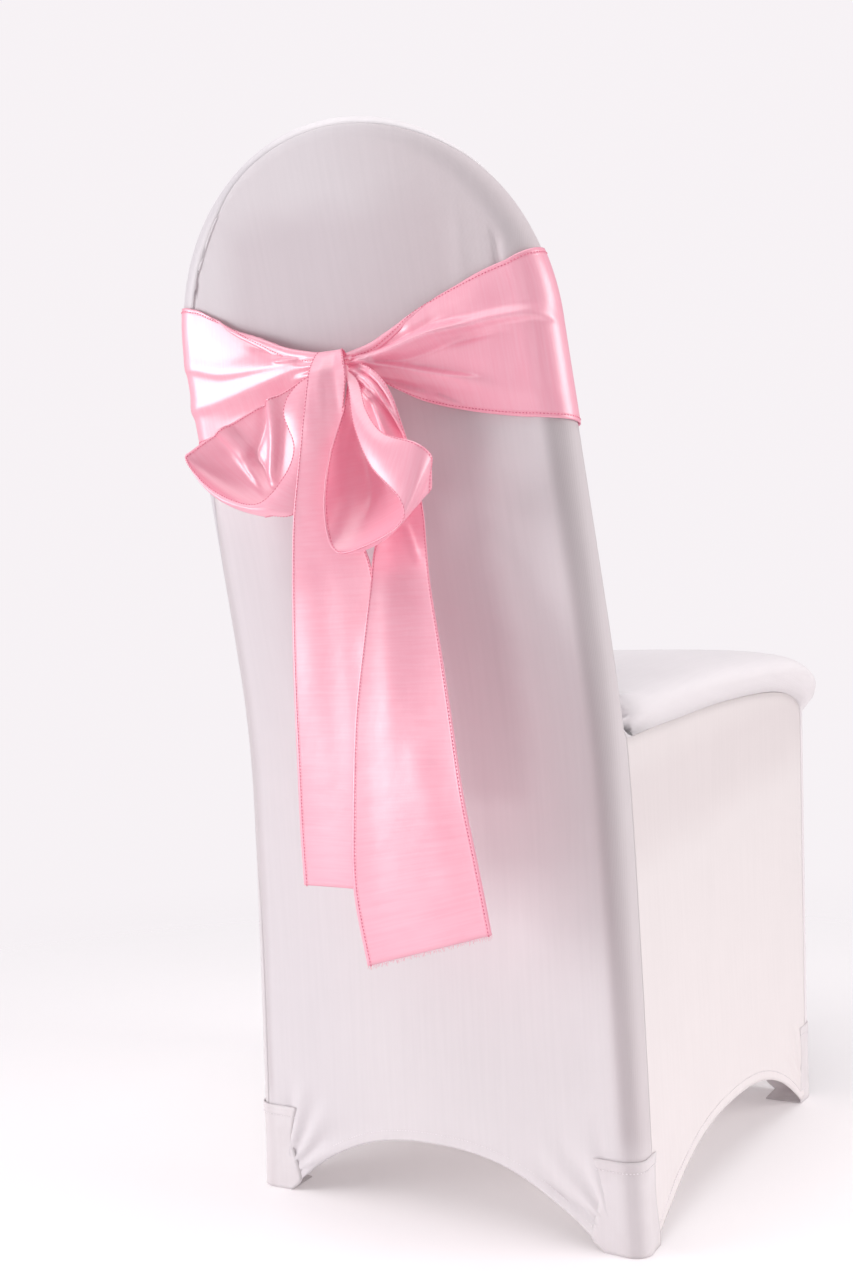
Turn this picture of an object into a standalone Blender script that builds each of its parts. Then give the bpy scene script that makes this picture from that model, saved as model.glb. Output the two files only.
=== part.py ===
"""A stretch chair cover with a satin sash tied in a bow behind its back.

The chair is left out. The cover keeps the shape that it takes on a banquet chair with a
rounded back, and is cut and sewn as such covers are: a back panel, a front panel that runs
from the rim of the back over the seat to the front hem, two side panels and four foot pockets.
The sash is one strip, tied round the back.

Shapes are worked out in the chair's own frame: X across, the sitter facing -Y, heights above
the floor. One empty then shifts them all so that the origin lies under the top of the cover,
where the chair's back carries it.
"""
import math

import bmesh
import bpy
from mathutils import Vector

# The chair's form, as the cover shows it.
TOP_HEIGHT = 0.950
SPRING_HEIGHT = 0.771        # the rounded top of the back starts here
SEAM_HEIGHT = 0.433          # the side seam of the seat, where it meets the back
BACK_Y = 0.218               # middle of the back's thickness at the rear legs
RAKE = 0.248                 # how far the back leans rearwards for each unit of height
RAKE_SOFTNESS = 0.060        # height over which the leg bends into the back
REAR_FOOT_HALF = 0.197
SEAT_REAR_HALF = 0.191
SPRING_HALF = 0.183
BACK_RIM_RADIUS = 0.022      # half the thickness of the back
LEG_RIM_RADIUS = 0.015
FRONT_HALF = 0.212
FRONT_TOP_Y = -0.2385        # the front corner seam, at the top of the skirt
FRONT_FOOT_Y = -0.205
SKIRT_TOP_HEIGHT = 0.420
SKIRT_CORNER_DEPTH = 0.018
FRONT_SQUARENESS = 7.0       # exponent of the rounded corners of seat and skirt

# The cloth of the cover.
CLOTH = 0.0015
SEAM_SETBACK = 0.0007        # each panel stops this far short of a shared seam
HEM_FOOT_HEIGHT = 0.004
REAR_HEM_RISE = 0.068
REAR_HEM_HALF = 0.158
SIDE_HEM_RISE = 0.067
SIDE_HEM_CENTRE_Y = 0.010
SIDE_HEM_HALF = 0.197
HEM_POWER = 2.4
SIDE_HOLLOW = 0.004          # how far the taut side panels pull in between the legs
REAR_SEAM_ANGLES = (75.0, 60.0)  # from the rear face round the rim, 90, towards its side, 0
FRONT_RIM_ANGLES = (-60.0, -30.0, 0.0, 30.0, 60.0)
FRONT_HEM_RISE = 0.068
FRONT_HEM_HALF = 0.201
CREASE_HEIGHT = 0.474        # the crease between the seat and the inside back, at its middle
SEAT_CROWN = 0.12            # share of the cushion's height that is its slight dome

# The foot pockets.
POCKET_HEIGHT = 0.080
POCKET_CLOTH = 0.0015
POCKET_GAP = 0.0007
POCKET_TOP_REACH = 0.026     # how far a pocket runs along each face, at its top edge
POCKET_FOOT_REACH = 0.035
SIDE_SPREAD = (FRONT_HALF - REAR_FOOT_HALF) / (BACK_Y - FRONT_FOOT_Y)

# The sash.
SASH_CLOTH = 0.0016

# How finely the panels are cut up.
HALF_COLUMNS = 8
LOWER_ROWS = 6
UPPER_ROWS = 8
POCKET_ROWS = 3
BAND_COLUMNS = 6
BAND_RIM_STEPS = 8
END_COLUMNS = 8
LOOP_COLUMNS = 5
LOOP_STEPS = 2               # rows of faces between two sections of a loop

# The seat, from its rear crease to the top of the skirt, one row for each section across it:
# seam_y, seam_height, seam_half, centre_y, centre_height, side_bulge
SEAT_SECTIONS = (
    (0.160, 0.437, 0.194, 0.160, 0.476, 0.002),
    (0.100, 0.441, 0.197, 0.100, 0.482, 0.004),
    (0.030, 0.446, 0.201, 0.030, 0.488, 0.006),
    (-0.050, 0.449, 0.206, -0.050, 0.493, 0.008),
    (-0.120, 0.449, 0.209, -0.125, 0.495, 0.010),
    (-0.170, 0.446, 0.211, -0.190, 0.495, 0.012),
    (-0.205, 0.440, 0.212, -0.240, 0.490, 0.015),
    (-0.226, 0.433, 0.212, -0.268, 0.474, 0.017),
    (-0.235, 0.427, 0.212, -0.275, 0.450, 0.012),
)

# The sash round the back, one row for each section: path, lower edge, upper edge, lift.
# The path is 0 at the knot, 1 to 2 round the left rim, 2 to 3 across the front of the back,
# 3 to 4 round the right rim and 5 at the knot again.
BAND_SECTIONS = (
    (-0.06, 0.742, 0.757, 0.022),
    (0.12, 0.736, 0.764, 0.019),
    (0.33, 0.726, 0.773, 0.012),
    (0.52, 0.717, 0.786, 0.007),
    (0.78, 0.710, 0.805, 0.004),
    (1.00, 0.706, 0.820, 0.002),
    (2.00, 0.700, 0.826, 0.002),
    (2.50, 0.692, 0.825, 0.002),
    (3.00, 0.689, 0.826, 0.002),
    (4.00, 0.695, 0.815, 0.002),
    (4.20, 0.700, 0.806, 0.004),
    (4.45, 0.709, 0.792, 0.007),
    (4.65, 0.724, 0.776, 0.011),
    (4.82, 0.744, 0.764, 0.017),
    (5.03, 0.743, 0.756, 0.022),
)
BAND_FOLD = 0.0035

# The two hanging ends, one row for each section: height, x and y of the left hem, then of the
# right hem, and the depth of the folds.
FRONT_END_SECTIONS = (
    (0.746, 0.008, 0.338, -0.008, 0.338, 0.001),
    (0.758, 0.011, 0.344, -0.010, 0.344, 0.001),
    (0.761, 0.012, 0.353, -0.012, 0.353, 0.001),
    (0.750, 0.012, 0.363, -0.020, 0.363, 0.002),
    (0.735, 0.013, 0.369, -0.025, 0.368, 0.002),
    (0.700, 0.018, 0.371, -0.023, 0.365, 0.002),
    (0.660, 0.027, 0.369, -0.018, 0.357, 0.002),
    (0.625, 0.035, 0.365, -0.018, 0.351, 0.003),
    (0.590, 0.043, 0.358, -0.027, 0.347, 0.003),
    (0.540, 0.050, 0.350, -0.032, 0.345, 0.003),
    (0.450, 0.057, 0.343, -0.041, 0.342, 0.003),
    (0.317, 0.057, 0.340, -0.050, 0.340, 0.003),
)
REAR_END_SECTIONS = (
    (0.750, -0.008, 0.345, -0.026, 0.345, 0.002),
    (0.738, -0.014, 0.351, -0.043, 0.351, 0.003),
    (0.720, -0.015, 0.354, -0.057, 0.354, 0.003),
    (0.700, -0.015, 0.352, -0.064, 0.352, 0.004),
    (0.680, -0.015, 0.349, -0.068, 0.349, 0.004),
    (0.650, -0.018, 0.349, -0.073, 0.349, 0.004),
    (0.620, -0.025, 0.351, -0.078, 0.351, 0.004),
    (0.580, -0.031, 0.354, -0.084, 0.354, 0.004),
    (0.515, -0.022, 0.357, -0.093, 0.357, 0.004),
    (0.460, -0.012, 0.357, -0.102, 0.357, 0.004),
    (0.340, -0.004, 0.357, -0.119, 0.357, 0.003),
    (0.275, -0.015, 0.357, -0.129, 0.357, 0.002),
)
END_SLANT = 0.034            # the rear end's cut edge rises this much towards the right

# The loops, one row for each section along the strip: its near hem, its middle and its far
# hem, each as x, y, height. The strip leaves the knot, folds back at the loop's end and
# returns in front of itself, so that the inside of the loop shows.
LEFT_LOOP_SECTIONS = (
    ((0.010, 0.348, 0.752), (0.010, 0.345, 0.748), (0.010, 0.343, 0.744)),
    ((0.045, 0.352, 0.735), (0.040, 0.344, 0.720), (0.035, 0.341, 0.700)),
    ((0.100, 0.352, 0.715), (0.085, 0.338, 0.690), (0.055, 0.341, 0.650)),
    ((0.145, 0.354, 0.695), (0.120, 0.346, 0.665), (0.065, 0.352, 0.635)),
    ((0.150, 0.359, 0.685), (0.115, 0.362, 0.650), (0.065, 0.359, 0.630)),
    ((0.115, 0.366, 0.655), (0.090, 0.370, 0.640), (0.055, 0.364, 0.630)),
    ((0.070, 0.370, 0.640), (0.055, 0.371, 0.635), (0.035, 0.363, 0.630)),
    ((0.045, 0.364, 0.660), (0.035, 0.364, 0.655), (0.025, 0.359, 0.650)),
    ((0.035, 0.360, 0.685), (0.025, 0.360, 0.685), (0.015, 0.356, 0.685)),
    ((0.045, 0.359, 0.715), (0.030, 0.360, 0.715), (0.015, 0.356, 0.715)),
    ((0.035, 0.356, 0.735), (0.025, 0.356, 0.735), (0.015, 0.354, 0.735)),
    ((0.010, 0.352, 0.749), (0.009, 0.350, 0.747), (0.008, 0.349, 0.745)),
)
RIGHT_LOOP_SECTIONS = (
    ((-0.012, 0.344, 0.744), (-0.014, 0.342, 0.743), (-0.016, 0.340, 0.742)),
    ((-0.017, 0.363, 0.710), (-0.025, 0.345, 0.715), (-0.045, 0.346, 0.705)),
    ((-0.010, 0.377, 0.670), (-0.020, 0.342, 0.680), (-0.065, 0.347, 0.675)),
    ((-0.005, 0.379, 0.630), (-0.025, 0.343, 0.640), (-0.080, 0.351, 0.650)),
    ((-0.010, 0.378, 0.600), (-0.045, 0.366, 0.605), (-0.095, 0.362, 0.640)),
    ((-0.030, 0.382, 0.595), (-0.070, 0.376, 0.610), (-0.100, 0.369, 0.655)),
    ((-0.080, 0.391, 0.610), (-0.095, 0.386, 0.635), (-0.105, 0.378, 0.665)),
    ((-0.085, 0.393, 0.630), (-0.090, 0.390, 0.650), (-0.095, 0.385, 0.675)),
    ((-0.055, 0.386, 0.660), (-0.060, 0.386, 0.675), (-0.065, 0.381, 0.685)),
    ((-0.035, 0.376, 0.695), (-0.040, 0.376, 0.700), (-0.045, 0.372, 0.705)),
    ((-0.022, 0.362, 0.730), (-0.025, 0.361, 0.730), (-0.030, 0.358, 0.730)),
    ((-0.010, 0.353, 0.748), (-0.013, 0.353, 0.748), (-0.016, 0.352, 0.748)),
)
KNOT_CENTRE = (-0.004, 0.343, 0.748)
KNOT_HALF = (0.026, 0.016, 0.014)
KNOT_TURN = -12.0
KNOT_RIDGES = 5
KNOT_RIDGE_HEIGHT = 0.0014


def mix(a, b, t):
    """The value a part t of the way from a to b."""
    return a + (b - a) * t


def read_rows(rows, place, column):
    """Smooth value of one column of a table whose first column is the place."""
    places = [row[0] for row in rows]
    if place <= places[0]:
        return rows[0][column]
    for before in range(len(rows) - 1):
        if place <= places[before + 1]:
            t = (place - places[before]) / (places[before + 1] - places[before])
            return mix(rows[before][column], rows[before + 1][column], t)
    return rows[-1][column]


def back_y(height):
    """Middle of the back's thickness: upright at the leg, leaning above the seat."""
    rise = height - SEAM_HEIGHT
    return BACK_Y + RAKE * 0.5 * (rise + math.hypot(rise, RAKE_SOFTNESS))


def rim_radius(height):
    return mix(LEG_RIM_RADIUS, BACK_RIM_RADIUS, min(height / SEAM_HEIGHT, 1.0))


def back_half(height):
    """Half the width of the back: straight sides, then the rounded top."""
    if height <= SEAM_HEIGHT:
        return mix(REAR_FOOT_HALF, SEAT_REAR_HALF, height / SEAM_HEIGHT)
    if height <= SPRING_HEIGHT:
        t = (height - SEAM_HEIGHT) / (SPRING_HEIGHT - SEAM_HEIGHT)
        return mix(SEAT_REAR_HALF, SPRING_HALF, t)
    rise = (height - SPRING_HEIGHT) / (TOP_HEIGHT - SPRING_HEIGHT)
    return SPRING_HALF * math.sqrt(max(1.0 - rise * rise, 0.0))


def hem_arch(place, half, rise):
    """Height of a hem that is drawn down to the feet on both sides of its middle."""
    reach = min(abs(place) / half, 1.0)
    return HEM_FOOT_HEIGHT + (rise - HEM_FOOT_HEIGHT) * (1.0 - reach ** HEM_POWER)


COLUMN_ANGLES = [math.pi / 2 * k / HALF_COLUMNS for k in range(-HALF_COLUMNS, HALF_COLUMNS + 1)]
ACROSS = [math.sin(angle) for angle in COLUMN_ANGLES]


def rim_spots():
    """Centres of the rim's rounding: up the left side, over the top and down the right.

    Each spot is x, height, and the outward direction in the plane of the back.
    """
    sides = []
    for row in range(UPPER_ROWS):
        height = mix(SEAM_HEIGHT, SPRING_HEIGHT, row / UPPER_ROWS)
        sides.append((back_half(height) - BACK_RIM_RADIUS, height))
    top = []
    for angle in COLUMN_ANGLES:
        x = (SPRING_HALF - BACK_RIM_RADIUS) * math.sin(angle)
        height = SPRING_HEIGHT + (TOP_HEIGHT - SPRING_HEIGHT - BACK_RIM_RADIUS) * math.cos(angle)
        outward = Vector((math.sin(angle) / SPRING_HALF,
                          math.cos(angle) / (TOP_HEIGHT - SPRING_HEIGHT))).normalized()
        top.append((x, height, outward.x, outward.y))
    left = [(-x, height, -1.0, 0.0) for x, height in sides]
    right = [(x, height, 1.0, 0.0) for x, height in reversed(sides)]
    return left + top + right


def rim_point(spot, angle):
    """A point on the rounded rim: 0 is its side, 90 its rear face and -90 its front face."""
    x, height, out_x, out_z = spot
    reach = BACK_RIM_RADIUS * math.cos(math.radians(angle))
    z = height + out_z * reach
    return Vector((x + out_x * reach, back_y(z) + BACK_RIM_RADIUS * math.sin(math.radians(angle)), z))


def rounding(across):
    """1 on the middle of a section, falling to 0 at its edges, with rounded shoulders."""
    return max(1.0 - abs(across) ** FRONT_SQUARENESS, 0.0) ** (1.0 / FRONT_SQUARENESS)


def front_skirt_point(across, height):
    """The front skirt between the front legs, its corners rounded."""
    seam_y = mix(FRONT_FOOT_Y, FRONT_TOP_Y, height / SKIRT_TOP_HEIGHT)
    return Vector((FRONT_HALF * across, seam_y - SKIRT_CORNER_DEPTH * rounding(across), height))


# ---- meshes ----

def add_grid(mesh, rows):
    """Join rows of points, all of one length, with faces. Returns the vertices by row."""
    verts = [[mesh.verts.new(point) for point in row] for row in rows]
    for lower, upper in zip(verts, verts[1:]):
        for k in range(len(lower) - 1):
            mesh.faces.new((lower[k], lower[k + 1], upper[k + 1], upper[k]))
    return verts


def add_strip(mesh, edge, points):
    """Join an edge's vertices to as many new points. Returns the new vertices."""
    verts = [mesh.verts.new(point) for point in points]
    for k in range(len(edge) - 1):
        mesh.faces.new((edge[k], edge[k + 1], verts[k + 1], verts[k]))
    return verts


def set_back(edge, inner):
    """Pull a panel's edge vertices back from the seam, towards the next ones in."""
    moves = [(vert, (other.co - vert.co).normalized() * SEAM_SETBACK)
             for vert, other in zip(edge, inner)]
    for vert, move in moves:
        vert.co += move


def turn_outwards(mesh, outwards):
    """Make an open sheet's faces point out, given the way that most of it faces."""
    bmesh.ops.recalc_face_normals(mesh, faces=mesh.faces)
    facing = sum(face.normal.dot(Vector(outwards)) * face.calc_area() for face in mesh.faces)
    if facing < 0.0:
        bmesh.ops.reverse_faces(mesh, faces=mesh.faces)


def thicken(obj, thickness, offset):
    shell = obj.modifiers.new("cloth", "SOLIDIFY")
    shell.thickness = thickness
    shell.offset = offset
    shell.use_even_offset = True


def make_object(name, mesh, collection, material, origin):
    data = bpy.data.meshes.new(name)
    mesh.to_mesh(data)
    mesh.free()
    data.shade_smooth()
    obj = bpy.data.objects.new(name, data)
    collection.objects.link(obj)
    obj.parent = origin
    if material is not None:
        data.materials.append(material)
    return obj


def make_material(name, colour, roughness):
    material = bpy.data.materials.new(name)
    material.use_nodes = True
    shader = material.node_tree.nodes["Principled BSDF"]
    shader.inputs["Base Color"].default_value = (*colour, 1.0)
    shader.inputs["Roughness"].default_value = roughness
    shader.inputs["Metallic"].default_value = 0.0
    return material


def back_panel(collection, material, origin):
    """The panel behind the chair, from the rear hem to the seam along the rounded rim."""
    mesh = bmesh.new()
    rows = []
    for row in range(LOWER_ROWS + 1):
        points = []
        for across in ACROSS:
            foot_x = (REAR_FOOT_HALF - LEG_RIM_RADIUS) * across
            hem = hem_arch(foot_x, REAR_HEM_HALF, REAR_HEM_RISE)
            z = mix(hem, SEAM_HEIGHT, row / LOWER_ROWS)
            x = (back_half(z) - rim_radius(z)) * across
            points.append(Vector((x, back_y(z) + rim_radius(z), z)))
        rows.append(points)
    for row in range(1, UPPER_ROWS + 1):
        t = row / UPPER_ROWS
        points = []
        for angle, across in zip(COLUMN_ANGLES, ACROSS):
            top_z = SPRING_HEIGHT + (TOP_HEIGHT - SPRING_HEIGHT - BACK_RIM_RADIUS) * math.cos(angle)
            z = mix(SEAM_HEIGHT, top_z, t)
            x = (mix(SEAT_REAR_HALF, SPRING_HALF, t) - BACK_RIM_RADIUS) * across
            points.append(Vector((x, back_y(z) + BACK_RIM_RADIUS, z)))
        rows.append(points)
    grid = add_grid(mesh, rows)
    edge = [row[0] for row in grid] + grid[-1][1:-1] + [row[-1] for row in reversed(grid)]
    inner = edge
    for angle in REAR_SEAM_ANGLES:
        lower = []
        for row in range(LOWER_ROWS):
            z = mix(HEM_FOOT_HEIGHT, SEAM_HEIGHT, row / LOWER_ROWS)
            radius = rim_radius(z)
            x = back_half(z) - radius + radius * math.cos(math.radians(angle))
            lower.append((x, back_y(z) + radius * math.sin(math.radians(angle)), z))
        points = [Vector((-x, y, z)) for x, y, z in lower]
        points += [rim_point(spot, angle) for spot in rim_spots()]
        points += [Vector(point) for point in reversed(lower)]
        inner, edge = edge, add_strip(mesh, edge, points)
    set_back(edge, inner)
    turn_outwards(mesh, (0.0, 1.0, 0.0))
    obj = make_object("back_panel", mesh, collection, material, origin)
    thicken(obj, CLOTH, -1.0)


def rim_foot_points(side):
    """The foot of the rim at the seat's seam, from the rear seam to the front of the back."""
    x = SEAT_REAR_HALF
    spot = (side * (x - BACK_RIM_RADIUS), SEAM_HEIGHT, side, 0.0)
    points = []
    for angle in (*reversed(FRONT_RIM_ANGLES), -90.0):
        point = rim_point(spot, angle)
        if angle < 0.0:
            point.x = side * x
        points.append(point)
    return points


def seat_rows():
    """The seat from behind the crease to the top of the front skirt, as rows of points."""
    rows = []
    for seam_y, seam_z, half, centre_y, centre_z, bulge in SEAT_SECTIONS:
        row = []
        for across in ACROSS:
            lift = rounding(across)
            x = half * across + math.copysign(4 * bulge * lift * (1.0 - lift), across)
            crown = lift * (1.0 - SEAT_CROWN * across * across)
            row.append(Vector((x, mix(seam_y, centre_y, crown), mix(seam_z, centre_z, crown))))
        rows.append(row)
    return rows


def front_panel(collection, material, origin):
    """Inside back with its rim, seat and front skirt, cut as one length of cloth."""
    mesh = bmesh.new()
    rows = []
    for row in range(UPPER_ROWS, 0, -1):
        t = row / UPPER_ROWS
        points = []
        for angle, across in zip(COLUMN_ANGLES, ACROSS):
            top_z = SPRING_HEIGHT + (TOP_HEIGHT - SPRING_HEIGHT - BACK_RIM_RADIUS) * math.cos(angle)
            z = mix(mix(SEAM_HEIGHT, CREASE_HEIGHT, rounding(across)), top_z, t)
            x = (mix(SEAT_REAR_HALF, SPRING_HALF, t) - BACK_RIM_RADIUS) * across
            points.append(Vector((x, back_y(z) - BACK_RIM_RADIUS, z)))
        rows.append(points)
    crease = []
    for across in ACROSS:
        z = mix(SEAM_HEIGHT, CREASE_HEIGHT, rounding(across))
        crease.append(Vector((SEAT_REAR_HALF * across, back_y(z) - BACK_RIM_RADIUS, z)))
    rows.append(crease)
    rows += seat_rows()
    for row in range(LOWER_ROWS + 1):
        points = []
        for across in ACROSS:
            hem = hem_arch(FRONT_HALF * across, FRONT_HEM_HALF, FRONT_HEM_RISE)
            points.append(front_skirt_point(across, mix(SKIRT_TOP_HEIGHT, hem, row / LOWER_ROWS)))
        rows.append(points)
    grid = add_grid(mesh, rows)

    upper = list(reversed(range(UPPER_ROWS + 1)))
    edge = ([grid[row][0] for row in upper] + grid[0][1:-1]
            + [grid[row][-1] for row in reversed(upper)])
    inner = edge
    feet = {side: rim_foot_points(side) for side in (-1, 1)}
    for step, angle in enumerate(FRONT_RIM_ANGLES):
        points = [rim_point(spot, angle) for spot in rim_spots()]
        points[0] = feet[-1][-2 - step]
        points[-1] = feet[1][-2 - step]
        inner, edge = edge, add_strip(mesh, edge, points)
        for foot, above in ((edge[0], edge[1]), (edge[-1], edge[-2])):
            set_back([foot], [above])
    set_back(edge[1:-1], inner[1:-1])
    for corner, beside in ((edge[0], inner[0]), (edge[-1], inner[-1])):
        set_back([corner], [beside])
    for column in (0, -1):
        crease_vert = grid[UPPER_ROWS][column]
        set_back([crease_vert], [grid[UPPER_ROWS - 1][column]])
        seams = [row[column] for row in grid[UPPER_ROWS + 1:]]
        nexts = [row[column + 1 if column == 0 else -2] for row in grid[UPPER_ROWS + 1:]]
        set_back(seams, nexts)
    turn_outwards(mesh, (0.0, -1.0, 0.5))
    obj = make_object("front_panel", mesh, collection, material, origin)
    thicken(obj, CLOTH, -1.0)


def side_panel(name, side, collection, material, origin):
    """From the rear seam to the front corner seam, under the seat's side seam."""
    tops = rim_foot_points(side)
    for seam_y, seam_z, half, _, _, _ in SEAT_SECTIONS:
        tops.append(Vector((side * half, seam_y, seam_z)))
    tops.append(Vector((side * FRONT_HALF, FRONT_TOP_Y, SKIRT_TOP_HEIGHT)))

    bottoms = []
    rear_y = back_y(HEM_FOOT_HEIGHT)
    for angle in FRONT_RIM_ANGLES[:1:-1]:
        x = REAR_FOOT_HALF - LEG_RIM_RADIUS + LEG_RIM_RADIUS * math.cos(math.radians(angle))
        y = rear_y + LEG_RIM_RADIUS * math.sin(math.radians(angle))
        bottoms.append(Vector((side * x, y, HEM_FOOT_HEIGHT)))
    top_start = tops[2].y
    for top in tops[3:]:
        t = (top_start - top.y) / (top_start - FRONT_TOP_Y)
        y = mix(rear_y, FRONT_FOOT_Y, t)
        hem = hem_arch(y - SIDE_HEM_CENTRE_Y, SIDE_HEM_HALF, SIDE_HEM_RISE)
        bottoms.append(Vector((side * mix(REAR_FOOT_HALF, FRONT_HALF, t), y, hem)))

    mesh = bmesh.new()
    rows = []
    last = len(tops) - 1
    for row in range(LOWER_ROWS + 1):
        s = row / LOWER_ROWS
        points = []
        for column, (top, bottom) in enumerate(zip(tops, bottoms)):
            point = top.lerp(bottom, s)
            forward = max(column - 2, 0) / (last - 2)
            straight = mix(back_y(top.z), back_y(bottom.z), s)
            point.y += (back_y(point.z) - straight) * (1.0 - forward)
            point.x -= side * SIDE_HOLLOW * math.sin(math.pi * s) * math.sin(math.pi * forward)
            points.append(point)
        rows.append(points)
    grid = add_grid(mesh, rows)
    set_back(grid[0], grid[1])
    for column, beside in ((0, 1), (last, last - 1)):
        set_back([row[column] for row in grid], [row[beside] for row in grid])
    turn_outwards(mesh, (side, 0.0, 0.0))
    obj = make_object(name, mesh, collection, material, origin)
    thicken(obj, CLOTH, -1.0)


def pocket_outline(end, z):
    """The left foot's corner in plan at a height, from its back or front face to its side."""
    reach = mix(POCKET_FOOT_REACH, POCKET_TOP_REACH, z / POCKET_HEIGHT)
    side_end = Vector((SIDE_SPREAD * reach, -reach))
    if end == "rear":
        radius = rim_radius(z)
        centre = Vector((back_half(z) - radius, back_y(z)))
        points = [centre + Vector((-reach, radius))]
        for angle in (90.0, 75.0, 60.0, 40.0, 20.0, 0.0):
            turn = math.radians(angle)
            points.append(centre + radius * Vector((math.cos(turn), math.sin(turn))))
        points.append(centre + Vector((radius, 0.0)) + side_end)
        return points
    inner_end = 1.0 - (reach + SKIRT_CORNER_DEPTH) / FRONT_HALF
    points = [front_skirt_point(across, z).xy for across in (inner_end, *ACROSS[-4:])]
    points.append(points[-1] - side_end)
    return points


def foot_pocket(name, end, side, collection, material, origin):
    """A doubled corner that wraps the foot and closes under it, open towards the inside."""
    out = POCKET_GAP + POCKET_CLOTH
    turn = 1.0 if end == "front" else -1.0
    rows = []
    for row in range(POCKET_ROWS + 1):
        z = POCKET_HEIGHT * row / POCKET_ROWS
        plan = pocket_outline(end, z)
        points = []
        for k, point in enumerate(plan):
            ahead = plan[min(k + 1, len(plan) - 1)] - plan[max(k - 1, 0)]
            away = turn * Vector((ahead.y, -ahead.x)).normalized()
            moved = point + away * out
            points.append(Vector((side * moved.x, moved.y, z)))
        rows.append(points)
    mesh = bmesh.new()
    grid = add_grid(mesh, rows)
    inner_corner = Vector((grid[0][0].co.x, grid[0][-1].co.y, 0.0))
    mesh.faces.new([*grid[0], mesh.verts.new(inner_corner)])
    turn_outwards(mesh, (side, 1.0 if end == "rear" else -1.0, 0.0))
    obj = make_object(name, mesh, collection, material, origin)
    thicken(obj, POCKET_CLOTH, -1.0)


# ---- the sash ----

def round_the_back(path, z, lift):
    """A point on the outside of the cover's back, followed all the way round at a height."""
    half = back_half(z) - BACK_RIM_RADIUS
    radius = BACK_RIM_RADIUS + lift
    y = back_y(z)
    if path <= 1.0:
        return Vector((half * path, y + radius, z))
    if path <= 2.0:
        turn = math.radians(90.0 - 180.0 * (path - 1.0))
        return Vector((half + radius * math.cos(turn), y + radius * math.sin(turn), z))
    if path <= 3.0:
        return Vector((half * (5.0 - 2.0 * path), y - radius, z))
    if path <= 4.0:
        turn = math.radians(-90.0 + 180.0 * (path - 3.0))
        return Vector((-half - radius * math.cos(turn), y + radius * math.sin(turn), z))
    return Vector((half * (path - 5.0), y + radius, z))


def sash_band():
    mesh = bmesh.new()
    rows = []
    paths = {section[0] for section in BAND_SECTIONS}
    for step in range(1, BAND_RIM_STEPS):
        paths |= {1.0 + step / BAND_RIM_STEPS, 3.0 + step / BAND_RIM_STEPS}
    flat_lift = min(section[3] for section in BAND_SECTIONS)
    knot_lift = max(section[3] for section in BAND_SECTIONS)
    for path in sorted(paths):
        lower, upper, lift = (read_rows(BAND_SECTIONS, path, column) for column in (1, 2, 3))
        near_knot = (lift - flat_lift) / (knot_lift - flat_lift)
        row = []
        for k in range(BAND_COLUMNS + 1):
            t = k / BAND_COLUMNS
            ridge = BAND_FOLD * math.sqrt(near_knot * (1.0 - near_knot)) * math.sin(3 * math.pi * t)
            row.append(round_the_back(path, mix(lower, upper, t), lift + ridge))
        rows.append(row)
    add_grid(mesh, rows)
    return mesh


def sash_end(sections, slant, folds):
    """A hanging end, with soft folds that run down it."""
    mesh = bmesh.new()
    rows = []
    for height, left_x, left_y, right_x, right_y, depth in sections:
        row = []
        for k in range(END_COLUMNS + 1):
            t = k / END_COLUMNS
            fold = depth * math.cos(folds * 2 * math.pi * t)
            cut = slant * (t - 0.5) if sections[-1][0] == height else 0.0
            row.append(Vector((mix(left_x, right_x, t), mix(left_y, right_y, t) + fold,
                               height + cut)))
        rows.append(row)
    add_grid(mesh, rows)
    return mesh


def curve_through(points, place):
    """A point on the smooth curve through the points, counted in steps from the first."""
    last = len(points) - 1
    k = min(int(place), last - 1)
    a, b = points[k], points[k + 1]
    before = points[k - 1] if k > 0 else 2 * a - b
    after = points[k + 2] if k + 2 <= last else 2 * b - a
    t = place - k
    return 0.5 * (2 * a + (b - before) * t + (2 * before - 5 * a + 4 * b - after) * t ** 2
                  + (3 * a - 3 * b + after - before) * t ** 3)


def sash_loop(sections):
    """A loop of the bow: a strip bent from its near hem through its middle to its far hem."""
    mesh = bmesh.new()
    rows = []
    lines = [[Vector(section[k]) for section in sections] for k in range(3)]
    for step in range((len(sections) - 1) * LOOP_STEPS + 1):
        near, middle, far = (curve_through(line, step / LOOP_STEPS) for line in lines)
        row = []
        for k in range(LOOP_COLUMNS + 1):
            t = k / LOOP_COLUMNS
            row.append(near * (1 - t) * (1 - 2 * t) + middle * 4 * t * (1 - t)
                       + far * t * (2 * t - 1))
        rows.append(row)
    add_grid(mesh, rows)
    return mesh


def sash_knot():
    """The knot: a flattened ball, drawn into ridges where the strip wraps round it."""
    mesh = bmesh.new()
    bmesh.ops.create_uvsphere(mesh, u_segments=20, v_segments=12, radius=1.0)
    turn = math.radians(KNOT_TURN)
    for vert in mesh.verts:
        unit = vert.co.copy()
        ridge = 1.0 + KNOT_RIDGE_HEIGHT / KNOT_HALF[2] * math.cos(KNOT_RIDGES * math.pi * unit.x)
        x = KNOT_HALF[0] * unit.x
        y = KNOT_HALF[1] * unit.y * ridge
        z = KNOT_HALF[2] * unit.z * ridge
        vert.co = Vector(KNOT_CENTRE) + Vector((x * math.cos(turn) - z * math.sin(turn), y,
                                                x * math.sin(turn) + z * math.cos(turn)))
    return mesh


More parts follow.
